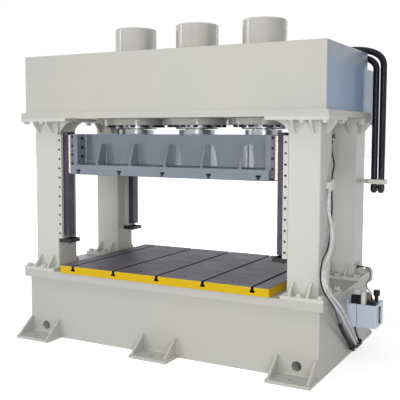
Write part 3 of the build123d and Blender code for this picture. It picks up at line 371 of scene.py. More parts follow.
@dataclass(frozen=True)
class CastBronze(Finish):
    """Sand-cast bronze left as cast: brown skin, sandy grain, brighter where it was rubbed."""

    colour: str
    rubbed: str
    sand_mm: float = 3.0
    worn_mm: float = 40.0

    def look(self, add: Adder, place: Socket) -> dict[str, Any]:
        """A grain of moulding sand, about 0.5 mm in fact, drawn at 3 mm.

        Args:
            add: Adds a node.
            place: The position on the object.

        Returns:
            The shader's inputs.
        """
        sand = add("TexNoise", {"Vector": place, "Scale": per_metre(self.sand_mm), "Detail": 4.0})
        worn = add("TexNoise", {"Vector": place, "Scale": per_metre(self.worn_mm), "Detail": 2.0})
        return {"Base Color": blend(add, worn, (0.45, 0.7, 1.0), linear(self.colour), linear(self.rubbed)),
                "Metallic": 0.75, "Roughness": 0.48,
                "Normal": add("Bump", {"Strength": 0.5, "Distance": 0.0006, "Height": sand})}


@dataclass(frozen=True)
class SoftPolymer(Finish):
    """Rubber, nylon, PVC or ABS, moulded or extruded: a matt grain under a soft sheen, dusty in drifts."""

    colour: str
    dust: str
    rough: float
    grain_mm: float = 2.0
    grain_depth: float = 0.2
    dust_mm: float = 90.0
    dust_share: float = 0.35
    index: float = 1.5
    gloss_level: float = 0.5

    def look(self, add: Adder, place: Socket) -> dict[str, Any]:
        """The mould's grain as a bump, drawn coarser than its real half millimetre, and a little workshop dust.

        Args:
            add: Adds a node.
            place: The position on the object.

        Returns:
            The shader's inputs.
        """
        grain = add("TexNoise", {"Vector": place, "Scale": per_metre(self.grain_mm), "Detail": 2.0})
        dust = add("TexNoise", {"Vector": place, "Scale": per_metre(self.dust_mm), "Detail": 3.0})
        rough = {0: dust, 1: 0.3, 2: 0.7, 3: self.rough - 0.04, 4: self.rough + 0.1}
        return {"Base Color": blend(add, dust, (0.4, 0.75, self.dust_share), linear(self.colour), linear(self.dust)),
                "Roughness": add("MapRange", rough), "IOR": self.index,
                "Specular IOR Level": self.gloss_level,
                "Normal": add("Bump", {"Strength": self.grain_depth, "Distance": 0.0003, "Height": grain})}


@dataclass(frozen=True)
class ClearAcrylic(Finish):
    """Clear cast acrylic, as on a level gauge: polished, with faint scratches from wiping."""

    colour: str
    wiped_mm: float = 12.0

    def look(self, add: Adder, place: Socket) -> dict[str, Any]:
        """Wiping scratches that scatter the gloss a little.

        Args:
            add: Adds a node.
            place: The position on the object.

        Returns:
            The shader's inputs.
        """
        wiped = add("TexNoise", {"Vector": place, "Scale": per_metre(self.wiped_mm), "Detail": 4.0})
        return {"Base Color": linear(self.colour), "IOR": 1.49, "Transmission Weight": 0.9,
                "Roughness": add("MapRange", {0: wiped, 1: 0.4, 2: 0.7, 3: 0.04, 4: 0.16})}


# Alkyd enamel sprayed on welded plate: light warm grey with a low even gloss.
FRAME_ENAMEL = SprayedEnamel("frame_alkyd_enamel", "#C3C4C1", "#C8C6BF")
BASE_ENAMEL = SprayedEnamel("base_alkyd_enamel", "#B6B7B5", "#B9B7B0")
# The same on a turned tube: smoother, with narrow upright lights.
BARREL_ENAMEL = SprayedEnamel("barrel_alkyd_enamel", "#B6B5B2", "#BBB8B2", rough=0.2, gloss_level=0.4, coat=0.9,
                              coat_rough=0.05)
# At the crown's ends a painted reflection: the same grey enamel drawn blue-grey, paler toward the top.
CROWN_ENAMEL = TwoToneAndPaintedReflectionEnamel("crown_alkyd_enamel", "#B6B7B4", "#BDBAB1")
# Gloss alkyd enamel: dark blue-grey with bright narrow lights.
SLIDE_ENAMEL = SprayedEnamel("slide_alkyd_enamel", "#6A7483", "#646C7A", rough=0.1, gloss_level=0.5, coat=1.0,
                             coat_rough=0.04, cloud_mm=420.0)
# Polyester enamel baked on sheet: pale blue and even, with a soft sheen.
LUBRICATOR_ENAMEL = SprayedEnamel("lubricator_polyester_enamel", "#CBD8EA", "#D1DBE9", rough=0.26, cloud_mm=200.0)
# The same on the lid, with the filler neck masked off and black.
LID_ENAMEL = TwoToneAndPaintedReflectionEnamel("lid_polyester_enamel", "#CBD8EA", "#D1DBE9", rough=0.26, cloud_mm=200.0,
                           panel="#141417", panel_top="#141417", panel_x=1.0, panel_z=(0.5256, 0.62))
# White polyester enamel: clean, a little glossier than the tank's.
WHITE_ENAMEL = SprayedEnamel("white_polyester_enamel", "#ECEDEF", "#E1E3E6", rough=0.24, cloud_mm=120.0)
# Ground steel under oil: violet-grey with bluish patches, yellow on its rim, and near-black painted shade in its
# slots.
BED_PLATE = GroundBedPlate("bed_plate_ground_steel", "#625E66", "#727C88", "#4F4B50", "#CFAA00", "#0C0B0D",
                           half_size=(1.16, 0.8), top_z=0.78)
# Hardened steel, ground and greased: nearly black, violet, with a long soft light.
GUIDE_STEEL = MachinedMetal("guide_hardened_steel", "#4B4550", "#3C3641", 0.38, metallic=0.6)
# Milled steel under oil: mid grey with upright cutter marks.
GIB_STEEL = MachinedMetal("gib_milled_steel", "#6A6875", "#5B5864", 0.4, metallic=0.5)
# Hard chrome on ground steel: a bright mirror that barely blurs the room.
HARD_CHROME = MachinedMetal("rod_hard_chrome", "#D6D8DC", "#C6C9CE", 0.2, metallic=1.0,
                            marks_along=(1.0, 1.0, 1.0), marks_mm=30.0, marks_depth=0.05)
# Turned steel: bright grey with marks that run round.
TURNED_STEEL = MachinedMetal("turned_steel", "#C2C3C6", "#A9AAAF", 0.3, metallic=0.9, marks_along=(0.05, 0.05, 1.0))
# Bronze scraped by hand and oiled: a pale straw colour in small soft patches, drawn near white, partly a painted
# highlight along the gibs' edges.
BRONZE_WITH_PAINTED_HIGHLIGHT = MachinedMetal("liner_scraped_bronze", "#E8E1D0", "#DDD3BC", 0.3, metallic=0.6,
                               marks_along=(1.0, 1.0, 1.0), marks_mm=12.0, marks_depth=0.06)
# Black oxide on alloy steel: blue-black and satin.
BLACK_OXIDE = MachinedMetal("screw_black_oxide", "#2A2A2D", "#1F1F22", 0.42, metallic=0.6,
                            marks_along=(1.0, 1.0, 1.0), marks_mm=3.0)
# Blackened mild steel sheet, wet with oil: black, with a broad dull light.
BLACKENED_SHEET = MachinedMetal("tray_blackened_sheet", "#17181D", "#22232A", 0.35, metallic=0.3,
                                marks_along=(1.0, 1.0, 1.0), marks_mm=25.0)
# Black passivated zinc plate on steel: a dark grey satin that catches light on every edge.
ZINC_FITTING = MachinedMetal("fitting_zinc_plated_steel", "#3B3B40", "#2B2B2F", 0.34, metallic=0.8)
# Cast bronze, unpolished: a dull brown that is sandy and brighter in patches.
VALVE_BRONZE = CastBronze("distributor_cast_bronze", "#8A7768", "#A58C74")
# Extruded nitrile rubber, wiped with oil: blue-black with one crisp light down its length.
HOSE_RUBBER = SoftPolymer("hose_nitrile_rubber", "#0F111C", "#1C1F2C", 0.14, grain_mm=5.0, grain_depth=0.05,
                          index=1.52, gloss_level=0.25)
# Moulded nitrile rubber: matt black.
SEAL_RUBBER = SoftPolymer("seal_nitrile_rubber", "#1B1B1D", "#2A2A2C", 0.55)
# Extruded PVC sheath: black with a satin line of light.
CABLE_PVC = SoftPolymer("cable_pvc_sheath", "#121216", "#222228", 0.34, grain_mm=3.0, grain_depth=0.1,
                        gloss_level=0.25)
# Corrugated grey PVC conduit: pale rings, mottled darker with dust.
CONDUIT_PVC = SoftPolymer("conduit_grey_pvc", "#E2E2E3", "#9C9B9E", 0.42, grain_mm=4.0, dust_mm=26.0,
                          dust_share=0.7)
# Corrugated black PVC sleeve: matt black with dust in its rings.
SLEEVE_PVC = SoftPolymer("sleeve_black_pvc", "#1B1B1F", "#36353B", 0.45, grain_mm=4.0, dust_mm=30.0,
                         gloss_level=0.25)
# Moulded natural nylon: a warm off-white with a waxy sheen.
CLAMP_NYLON = SoftPolymer("clamp_moulded_nylon", "#D9D8D0", "#C4C2B8", 0.4, index=1.53)
# Moulded ABS: black with a spark-eroded grain.
BLACK_ABS = SoftPolymer("moulded_black_abs", "#121216", "#212126", 0.38, index=1.53, gloss_level=0.25)
# Cast acrylic: clear, with a polished face.
GAUGE_ACRYLIC = ClearAcrylic("gauge_cast_acrylic", "#F4F7FA")
# Mineral oil behind the gauge's window: amber and wet.
GAUGE_OIL = SoftPolymer("gauge_mineral_oil", "#B98B36", "#A67A2C", 0.15, grain_depth=0.0, index=1.47)

NODE_FINISHES: dict[Finish, tuple[str, ...]] = {
    BASE_ENAMEL: ("base_frame",),
    FRAME_ENAMEL: ("column_front_left", "column_front_right", "column_rear_left", "column_rear_right",
                   "column_bolts", "switch_bracket", "hose_bracket", "manifold_block"),
    BARREL_ENAMEL: ("cylinder_barrels",),
    CROWN_ENAMEL: ("crown_frame",),
    SLIDE_ENAMEL: ("slide_frame", "switch_striker"),
    BED_PLATE: ("bolster_plate",),
    GUIDE_STEEL: ("guide_rails",),
    GIB_STEEL: ("gib_front_left", "gib_front_right", "gib_rear_left", "gib_rear_right", "pistons"),
    HARD_CHROME: ("piston_rods",),
    TURNED_STEEL: ("cylinder_heads", "rod_clamps"),
    BRONZE_WITH_PAINTED_HIGHLIGHT: ("gib_liners",),
    BLACK_OXIDE: ("bolster_screws", "cylinder_flange_bolts", "cylinder_head_screws", "rod_clamp_screws",
                  "gib_screws", "rail_screws"),
    BLACKENED_SHEET: ("oil_trays",),
    ZINC_FITTING: ("hose_fittings", "grease_fitting"),
    SEAL_RUBBER: ("rod_seals", "piston_seals"),
    HOSE_RUBBER: ("hose_outer", "hose_inner"),
    CABLE_PVC: ("switch_cable", "trunk_cable", "lubricator_cable", "grease_pipe"),
    CONDUIT_PVC: ("conduit_long", "conduit_short"),
    SLEEVE_PVC: ("cable_sleeve",),
    CLAMP_NYLON: ("hose_clamp", "conduit_box", "gland_block"),
    BLACK_ABS: ("position_switch", "conduit_elbows", "lubricator_terminal_box", "lubricator_outlet_bar",
                "lubricator_cap"),
    LUBRICATOR_ENAMEL: ("lubricator_pump", "lubricator_tank", "lubricator_bracket"),
    LID_ENAMEL: ("lubricator_lid",),
    WHITE_ENAMEL: ("lubricator_frame", "lubricator_motor"),
    VALVE_BRONZE: ("lubricator_valve",),
    GAUGE_ACRYLIC: ("lubricator_gauge",),
}


def dress_nodes() -> int:
    """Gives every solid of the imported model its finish.

    Returns:
        How many solids were dressed.
    """
    count = 0
    for finish, nodes in NODE_FINISHES.items():
        for node in nodes:
            data = frame["nodes"][node].data
            data.materials.clear()
            data.materials.append(finish.material())
            count += 1
    assert count == len(frame["nodes"]), "a solid has no finish"
    return count


def ring(radii: float | Sequence[float], height: float, steps: int) -> list[Vector]:
    """One closed ring of points about the Z axis.

    Args:
        radii: Its radius, or one radius for each of its points.
        height: Its height.
        steps: How many points it has.

    Returns:
        The points.
    """
    each = [radii] * steps if isinstance(radii, float) else radii
    angles = [2 * math.pi * k / steps for k in range(steps)]
    return [Vector((r * math.cos(a), r * math.sin(a), height)) for r, a in zip(each, angles)]


def hexagon(half: float, steps: int) -> list[float]:
    """The radii of a ring that runs round a hexagon.

    Args:
        half: Half of the hexagon's width across flats.
        steps: How many points the ring has.

    Returns:
        One radius for each point.
    """
    angles = [2 * math.pi * k / steps for k in range(steps)]
    return [half / math.cos((a + math.pi / 6) % (math.pi / 3) - math.pi / 6) for a in angles]


def put(name: str, data: bpy.types.ID) -> Object:
    """Makes an object and puts it in the scene.

    Args:
        name: Its name.
        data: Its mesh, curve, light or camera.

    Returns:
        The object.
    """
    made = bpy.data.objects.new(name, data)
    bpy.context.scene.collection.objects.link(made)
    return made


class Draft:
    """Points and faces gathered for one piece."""

    def __init__(self) -> None:
        """Starts with nothing drawn."""
        self.points: list[Vector] = []
        self.faces: list[list[int]] = []

    def loft(self, rings: Sequence[Sequence[Vector]]) -> None:
        """Skins closed rings of equally many points, in order, and closes both ends.

        Args:
            rings: The rings, each a closed loop.
        """
        first, count = len(self.points), len(rings[0])
        for loop in rings:
            self.points.extend(loop)
        for k in range(len(rings) - 1):
            low, high = first + k * count, first + (k + 1) * count
            for j in range(count):
                nxt = (j + 1) % count
                self.faces.append([low + j, low + nxt, high + nxt, high + j])
        self.faces.append([first + j for j in reversed(range(count))])
        last = first + (len(rings) - 1) * count
        self.faces.append([last + j for j in range(count)])

    def stack(self, seat: Matrix, levels: Sequence[tuple[float | Sequence[float], float]], steps: int) -> None:
        """Skins rings that stand on the Z axis of a seat.

        Args:
            seat: Where the form stands.
            levels: Pairs of radius, or radii, and height, from its foot to its top.
            steps: Points round each ring.
        """
        self.loft([[seat @ point for point in ring(radii, z, steps)] for radii, z in levels])

    def block(self, low: Point, high: Point, bevel: float) -> None:
        """A block with its edges bevelled all round.

        Args:
            low: Its lowest corner.
            high: Its highest corner.
            bevel: The width of the bevels.
        """
        (x0, y0, z0), (x1, y1, z1), b = low, high, bevel
        rings = []
        for z, i in ((z0, b), (z0 + b, 0.0), (z1 - b, 0.0), (z1, b)):
            rings.append([Vector(p) for p in (
                (x0 + i, y0 + b, z), (x0 + b, y0 + i, z), (x1 - b, y0 + i, z), (x1 - i, y0 + b, z),
                (x1 - i, y1 - b, z), (x1 - b, y1 - i, z), (x0 + b, y1 - i, z), (x0 + i, y1 - b, z))])
        self.loft(rings)

    def bead(self, start: Point, end: Point, first: Point, second: Point, leg: float = 0.011) -> None:
        """A fillet weld along the inner corner of two plates, with the ripples that each drop leaves.

        Args:
            start: One end of the corner.
            end: The other end.
            first: The way out of the corner along one plate, of length 1.
            second: The way out along the other plate, of length 1.
            leg: How far the weld reaches up each plate.
        """
        a, b, u, v = Vector(start), Vector(end), Vector(first), Vector(second)
        count = max(2, round((b - a).length / WELD_RIPPLE))
        rings = []
        for k in range(count + 1):
            at, reach = a.lerp(b, k / count), leg * (1.0 if k % 2 else WELD_NECK)
            rings.append([at - (u + v) * WELD_ROOT, at + u * reach, at + (u + v) * reach * WELD_FACE, at + v * reach])
        self.loft(rings)

    def gusset_seams(self, corner: Point, face: int, foot: float, back: float, leg: float) -> None:
        """The two welds on one face of a gusset, along its foot and up its back.

        Args:
            corner: Where its foot and its back meet.
            face: Which side of the gusset the face is on, -1 or 1 along X.
            foot: How far the foot reaches along Y, negative to the front.
            back: How far the back reaches along Z, negative downward.
            leg: How far the welds reach up each plate.
        """
        x, y, z = corner
        self.bead(corner, (x, y + foot, z), (face, 0, 0), (0, 0, math.copysign(1, back)), leg)
        self.bead(corner, (x, y, z + back), (face, 0, 0), (0, math.copysign(1, foot), 0), leg)

    def screw_head(self, seat: Matrix, radius: float, height: float) -> None:
        """A socket head cap screw's head: a knurled rim, a small bevel and a hexagon socket.

        Args:
            seat: Where the head stands, with Z away from its seat.
            radius: The head's radius.
            height: The head's height.
        """
        steps = 48
        rim = [radius * (1.0 if k % 2 else 0.965) for k in range(steps)]
        socket = hexagon(radius * 0.56, steps)
        self.stack(seat, [(rim, 0.0), (rim, height * 0.88), (radius * 0.9, height), (socket, height),
                          ([c * 0.97 for c in socket], height * 0.35)], steps)

    def hexagon_head(self, seat: Matrix, across_flats: float, height: float) -> None:
        """A hexagon head with its corners turned off at the top.

        Args:
            seat: Where the head stands, with Z away from its seat.
            across_flats: Its width across flats.
            height: Its height.
        """
        steps, half = 24, across_flats / 2
        corner = hexagon(half, steps)
        self.stack(seat, [(corner, 0.0), ([min(c, half * 1.1) for c in corner], height * 0.86),
                          (half * 0.94, height)], steps)

    def pan_head(self, seat: Matrix) -> None:
        """A small pan head screw's head."""
        self.stack(seat, [(0.0055, 0.0), (0.0052, 0.002), (0.0035, 0.0035), (0.0008, 0.004)], 16)

    def piece(self, name: str, finish: Finish, body: Body, slot: str, replaces: Iterable[str] = (),
              sharp_degrees: float = 32.0) -> Object:
        """Makes the drawn points and faces into a piece of the press.

        Args:
            name: The piece's name.
            finish: Its finish.
            body: The body that it rides on.
            slot: The record's material slot; not used.
            replaces: Solids that it stands for.
            sharp_degrees: Edges that bend more than this stay sharp.

        Returns:
            The new object.
        """
        mesh = bpy.data.meshes.new(name)
        mesh.from_pydata(self.points, [], self.faces)
        mesh.shade_smooth()
        mesh.set_sharp_from_angle(angle=math.radians(sharp_degrees))
        mesh.materials.append(finish.material())
        made = put(name, mesh)
        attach(made, body.value)
        if replaces:
            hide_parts(*replaces)
        return made


def seat_at(place: Point, facing: Point) -> Matrix:
    """The matrix of a seat at a place, whose Z axis points the way that it faces."""
    return Matrix.Translation(place) @ Vector(facing).to_track_quat("Z", "Y").to_matrix().to_4x4()


@dataclass
class Cord:
    """A conduit, cable, pipe or hose that follows its own line between two fittings."""

    node: str
    route: list[Point]
    diameter: float
    length: float
    finish: Finish
    slot: str
    stiffness: Stiffness
    jacket: Jacket = Jacket.SMOOTH
    ring_pitch_mm: float = 16.0
    far_end: str = "object"
    fittings: list[Object] = field(default_factory=list)

    def line(self) -> Object:
        """The smooth curve that has the route's points as its control points.

        Returns:
            The curve, which has no bevel.
        """
        data = bpy.data.curves.new(self.node + "_line", "CURVE")
        data.dimensions = "3D"
        data.resolution_u = 24
        spline = data.splines.new("NURBS")
        spline.points.add(len(self.route) - 1)
        for point, place in zip(spline.points, self.route):
            point.co = (*place, 1.0)
        spline.order_u = 3
        spline.use_endpoint_u = True
        return put(self.node + "_line", data)

    @staticmethod
    def evenly(points: list[Vector], step: float) -> list[Vector]:
        """The points of the curve again, a fixed step apart.

        Args:
            points: The curve as it was read.
            step: The distance between neighbours.

        Returns:
            Points along the same line.
        """
        reach = [0.0]
        for a, b in zip(points, points[1:]):
            reach.append(reach[-1] + (b - a).length)
        count = max(2, round(reach[-1] / step))
        result, k = [], 0
        for j in range(count + 1):
            want = reach[-1] * j / count
            while k < len(points) - 2 and reach[k + 1] < want:
                k += 1
            span = reach[k + 1] - reach[k]
            result.append(points[k].lerp(points[k + 1], (want - reach[k]) / span if span else 0.0))
        return result

    def corrugated(self, line: Object) -> None:
        """A tube of rounded rings along the line, as a bellows conduit has.

        Args:
            line: The route's curve.
        """
        read = bpy.data.meshes.new_from_object(line.evaluated_get(bpy.context.evaluated_depsgraph_get()))
        points = self.evenly([v.co.copy() for v in read.vertices], self.ring_pitch_mm * MM / RING_SECTIONS)
        bpy.data.meshes.remove(read)
        bpy.data.objects.remove(line)
        draft, rings, side = Draft(), [], Vector((0, 1, 0))
        for k, at in enumerate(points):
            along = (points[min(k + 1, len(points) - 1)] - points[max(k - 1, 0)]).normalized()
            side = (side - along * side.dot(along)).normalized()
            other = along.cross(side)
            swell = 1 - RING_DEPTH + RING_DEPTH * math.cos(2 * math.pi * k / RING_SECTIONS)
            rings.append([at + (side * math.cos(a) + other * math.sin(a)) * (self.diameter / 2 * swell)
                          for a in [2 * math.pi * j / TUBE_SIDES for j in range(TUBE_SIDES)]])
        draft.loft(rings)
        made = draft.piece(self.node + "_jacket", self.finish, Body.FRAME, self.slot, [self.node], 180.0)

    def smooth(self, line: Object) -> None:
        """The curve itself with a round section.

        Args:
            line: The route's curve.
        """
        line.name = self.node + "_jacket"
        line.data.bevel_depth = self.diameter / 2
        line.data.bevel_resolution = 6
        line.data.use_fill_caps = True
        line.data.materials.append(self.finish.material())
        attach(line, Body.FRAME.value)
        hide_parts(self.node)

    def build(self) -> None:
        """Makes the cord with its jacket."""
        line = self.line()
        bpy.context.view_layer.update()
        (self.corrugated if self.jacket is Jacket.CORRUGATED else self.smooth)(line)


@dataclass
class Electrics:
    """The conduits and cables on the right side, from the switch and the boxes to the elbows on the base."""

    conduit_diameter: float = 0.032
    small_conduit_diameter: float = 0.024
    cable_diameter: float = 0.014
    sleeve_diameter: float = 0.036
    feed_diameter: float = 0.018

    def cords(self) -> list[Cord]:
        """Each cord with the points that its line is drawn through.

        Returns:
            The cords, from the largest conduit to the lubricator's cable.
        """
        return [
            Cord("conduit_long", [
                (1.592, -0.484, 1.632), (1.596, -0.520, 1.560), (1.602, -0.540, 1.475), (1.606, -0.500, 1.395),
                (1.611, -0.460, 1.312), (1.620, -0.490, 1.212), (1.629, -0.545, 1.120), (1.638, -0.648, 1.055),
                (1.642, -0.755, 1.020), (1.662, -0.862, 0.962), (1.684, -0.882, 0.856), (1.700, -0.802, 0.767),
                (1.698, -0.640, 0.665), (1.672, -0.390, 0.545), (1.656, -0.150, 0.375), (1.648, 0.075, 0.205),
                (1.6414, 0.2507, 0.0788),
            ], self.conduit_diameter, 2.389, CONDUIT_PVC, "light_conduit", Stiffness.MEDIUM, Jacket.CORRUGATED, 20.0),
            Cord("conduit_short", [
                (1.588, -0.345, 1.300), (1.592, -0.352, 1.222), (1.604, -0.405, 1.135), (1.614, -0.505, 1.070),
                (1.628, -0.612, 1.035), (1.642, -0.705, 0.998), (1.662, -0.785, 0.925), (1.688, -0.800, 0.840),
                (1.708, -0.735, 0.765), (1.712, -0.610, 0.690), (1.695, -0.395, 0.585), (1.668, -0.165, 0.437),
                (1.654, 0.095, 0.246), (1.6420, 0.3172, 0.0796),
            ], self.small_conduit_diameter, 2.064, CONDUIT_PVC, "light_conduit", Stiffness.MEDIUM, Jacket.CORRUGATED),
            Cord("switch_cable", [
                (1.553, -0.336, 2.051), (1.553, -0.336, 1.990), (1.570, -0.338, 1.925), (1.592, -0.360, 1.862),
                (1.593, -0.398, 1.805), (1.590, -0.414, 1.762), (1.590, -0.414, 1.728),
            ], self.cable_diameter, 0.345, CABLE_PVC, "black_cable", Stiffness.MEDIUM),
            Cord("trunk_cable", [
                (1.590, -0.414, 1.635), (1.590, -0.414, 1.575), (1.590, -0.396, 1.495), (1.590, -0.408, 1.415),
                (1.590, -0.400, 1.335), (1.590, -0.438, 1.240), (1.590, -0.490, 1.135), (1.593, -0.575, 1.082),
                (1.610, -0.690, 1.070), (1.640, -0.820, 1.022), (1.668, -0.925, 0.955), (1.694, -0.935, 0.860),
                (1.706, -0.862, 0.785), (1.720, -0.762, 0.705), (1.714, -0.640, 0.622), (1.680, -0.485, 0.520),
                (1.664, -0.335, 0.413),
            ], self.cable_diameter, 1.844, CABLE_PVC, "black_cable", Stiffness.MEDIUM),
            Cord("cable_sleeve", [
                (1.664, -0.335, 0.413), (1.648, -0.185, 0.306), (1.640, -0.012, 0.184), (1.6400, 0.1346, 0.0788),
            ], self.sleeve_diameter, 0.577, SLEEVE_PVC, "black_cable", Stiffness.STIFF, Jacket.CORRUGATED),
            Cord("lubricator_cable", [
                (1.655, 0.160, 0.286), (1.651, 0.215, 0.222), (1.645, 0.295, 0.150), (1.6415, 0.3768, 0.0815),
            ], self.feed_diameter, 0.299, CABLE_PVC, "black_cable", Stiffness.MEDIUM),
        ]

    def build(self) -> None:
        """Makes every cord."""
        for cord in self.cords():
            cord.build()


@dataclass
class Hydraulics:
    """The two hoses with their crimped ends. Each hose is given by where it hangs, its height and its length."""

    diameter: float = 0.064
    hose_y: float = 0.535
    ferrule_foot: float = 1.380
    ferrule_length: float = 0.062
    ferrule_radius: float = 0.0348
    mark_count: int = 8
    mark_depth: float = 0.0018
    plug_flats: float = 0.046
    plug_height: float = 0.018
    end_z: float = 1.632
    outer: tuple[float, float, float] = (1.784, 2.965, 1.640)
    inner: tuple[float, float, float] = (1.713, 2.894, 1.498)

    def ferrule(self, draft: Draft, seat: Matrix) -> None:
        """A crimped ferrule: press marks round it, and a collar at each end.

        Args:
            draft: The piece that it is drawn in.
            seat: Its foot, with Z toward the hose.
        """
        steps = 48
        angles = [2 * math.pi * k / steps for k in range(steps)]
        pressed = [self.ferrule_radius - self.mark_depth * max(0.0, math.cos(self.mark_count * a)) for a in angles]
        draft.stack(seat, [(0.035, 0.0), (0.035, 0.008), (0.0325, 0.010), (0.0325, 0.013), (pressed, 0.016),
                           (pressed, 0.050), (0.0342, 0.054), (0.0342, self.ferrule_length)], steps)

    def fittings(self, name: str, x: float, z: float) -> Object:
        """The ferrules at both ends of a hose, with the hexagon plug in the lower one.

        Args:
            name: The hose's name.
            x: Where the hose hangs.
            z: The height at which it leaves the manifold.

        Returns:
            The fittings as one piece.
        """
        draft = Draft()
        self.ferrule(draft, seat_at((self.ferrule_foot, self.hose_y, z), (1, 0, 0)))
        low = (x, self.hose_y, self.end_z - self.ferrule_length)
        self.ferrule(draft, seat_at(low, (0, 0, 1)))
        draft.hexagon_head(seat_at(low, (0, 0, -1)), self.plug_flats, self.plug_height)
        return draft.piece(name + "_fittings", ZINC_FITTING, Body.FRAME, "black_metal", ["hose_fittings"])

    def build(self) -> None:
        """Makes the hoses: out of the manifold, over the deck's edge and straight down."""
        y, start = self.hose_y, self.ferrule_foot + self.ferrule_length
        for name, (x, z, length) in (("hose_outer", self.outer), ("hose_inner", self.inner)):
            route = [(start, y, z), (x, y, z), (x, y, z - (x - start)), (x, y, self.end_z)]
            Cord(name, route, self.diameter, length, HOSE_RUBBER, "black_rubber", Stiffness.STIFF, far_end="fitting",
                 fittings=[self.fittings(name, x, z)]).build()


@dataclass
class Weldments:
    """The fillet welds of the base, the columns and the crown, painted over with the frame."""

    base: Point = (1.610, 0.745, 0.620)
    feet_x: tuple[float, ...] = (-1.405, 0.0, 1.405)
    foot_half: float = 0.205
    foot_reach: float = 0.212
    foot_top: float = 0.030
    gusset_inset: float = 0.012
    gusset_thick: float = 0.025
    gusset_rise: float = 0.150
    gusset_leg: float = 0.008
    column_x: tuple[float, float] = (1.278, 1.573)
    column_y: tuple[float, float] = (0.384, 0.679)
    column_z: tuple[float, float] = (0.730, 2.250)
    column_gusset_offset: float = 0.084
    column_gusset_half: float = 0.010
    column_gusset_reach: float = 0.100
    column_gusset_rise: float = 0.110
    column_gusset_leg: float = 0.007
    crown: Point = (1.640, 0.747, 2.335)
    deck_y: float = 0.476
    deck_z: float = 2.760

    @staticmethod
    def box_seam(draft: Draft, box: Point, side: int, up: int) -> None:
        """Half of the seam round a box that stands over the middle of the press.

        Args:
            draft: The piece that it is drawn in.
            box: Half of the box's width, half of its depth, and the seam's height.
            side: -1 for the front and the left, 1 for the rear and the right.
            up: 1 where the box rises from the seam, and -1 where it hangs from it.
        """
        x, y, z = box
        draft.bead((-x, side * y, z), (x, side * y, z), (0, side, 0), (0, 0, up))
        draft.bead((side * x, -y, z), (side * x, y, z), (side, 0, 0), (0, 0, up))

    def base_seams(self, draft: Draft) -> None:
        """The seam below the top plate, those of the feet, and those of the two gussets on each foot.

        Args:
            draft: The piece that they are drawn in.
        """
        low = self.foot_top
        for side in (-1, 1):
            self.box_seam(draft, self.base, side, -1)
            y = side * self.base[1]
            for foot_x in self.feet_x:
                draft.bead((foot_x - self.foot_half, y, low), (foot_x + self.foot_half, y, low),
                           (0, side, 0), (0, 0, 1))
                for end in (-1, 1):
                    outer = foot_x + end * (self.foot_half - self.gusset_inset)
                    for face, way in ((outer, end), (outer - end * self.gusset_thick, -end)):
                        draft.gusset_seams((face, y, low), way, side * self.foot_reach, self.gusset_rise,
                                           self.gusset_leg)

    def column_seams(self, draft: Draft, sx: int, sy: int) -> None:
        """The seams at both ends of a column, round its box and along its gussets.

        Args:
            draft: The piece that they are drawn in.
            sx: -1 for a left column, 1 for a right one.
            sy: -1 for a front column, 1 for a rear one.
        """
        (x0, x1), (y0, y1) = self.column_x, self.column_y
        for z, up in zip(self.column_z, (1, -1)):
            for x, way in ((x0, -1), (x1, 1)):
                draft.bead((sx * x, sy * y0, z), (sx * x, sy * y1, z), (sx * way, 0, 0), (0, 0, up))
            for y, way in ((y0, -1), (y1, 1)):
                draft.bead((sx * x0, sy * y, z), (sx * x1, sy * y, z), (0, sy * way, 0), (0, 0, up))
                for offset in (-1, 1):
                    gusset = (x0 + x1) / 2 + offset * self.column_gusset_offset
                    for face in (-1, 1):
                        x = sx * (gusset + face * self.column_gusset_half)
                        draft.gusset_seams((x, sy * y, z), sx * face, sy * way * self.column_gusset_reach,
                                           up * self.column_gusset_rise, self.column_gusset_leg)

    def build(self) -> None:
        """Makes the welds of the three weldments."""
        base, columns, crown = Draft(), Draft(), Draft()
        self.base_seams(base)
        for sx, sy in CORNERS:
            self.column_seams(columns, sx, sy)
        for side in (-1, 1):
            self.box_seam(crown, self.crown, side, 1)
        x = self.crown[0]
        crown.bead((-x, self.deck_y, self.deck_z), (x, self.deck_y, self.deck_z), (0, 1, 0), (0, 0, 1))
        base.piece("base_welds", BASE_ENAMEL, Body.FRAME, "grey_paint")
        columns.piece("column_welds", FRAME_ENAMEL, Body.FRAME, "grey_paint")
        crown.piece("crown_welds", FRAME_ENAMEL, Body.FRAME, "grey_paint")


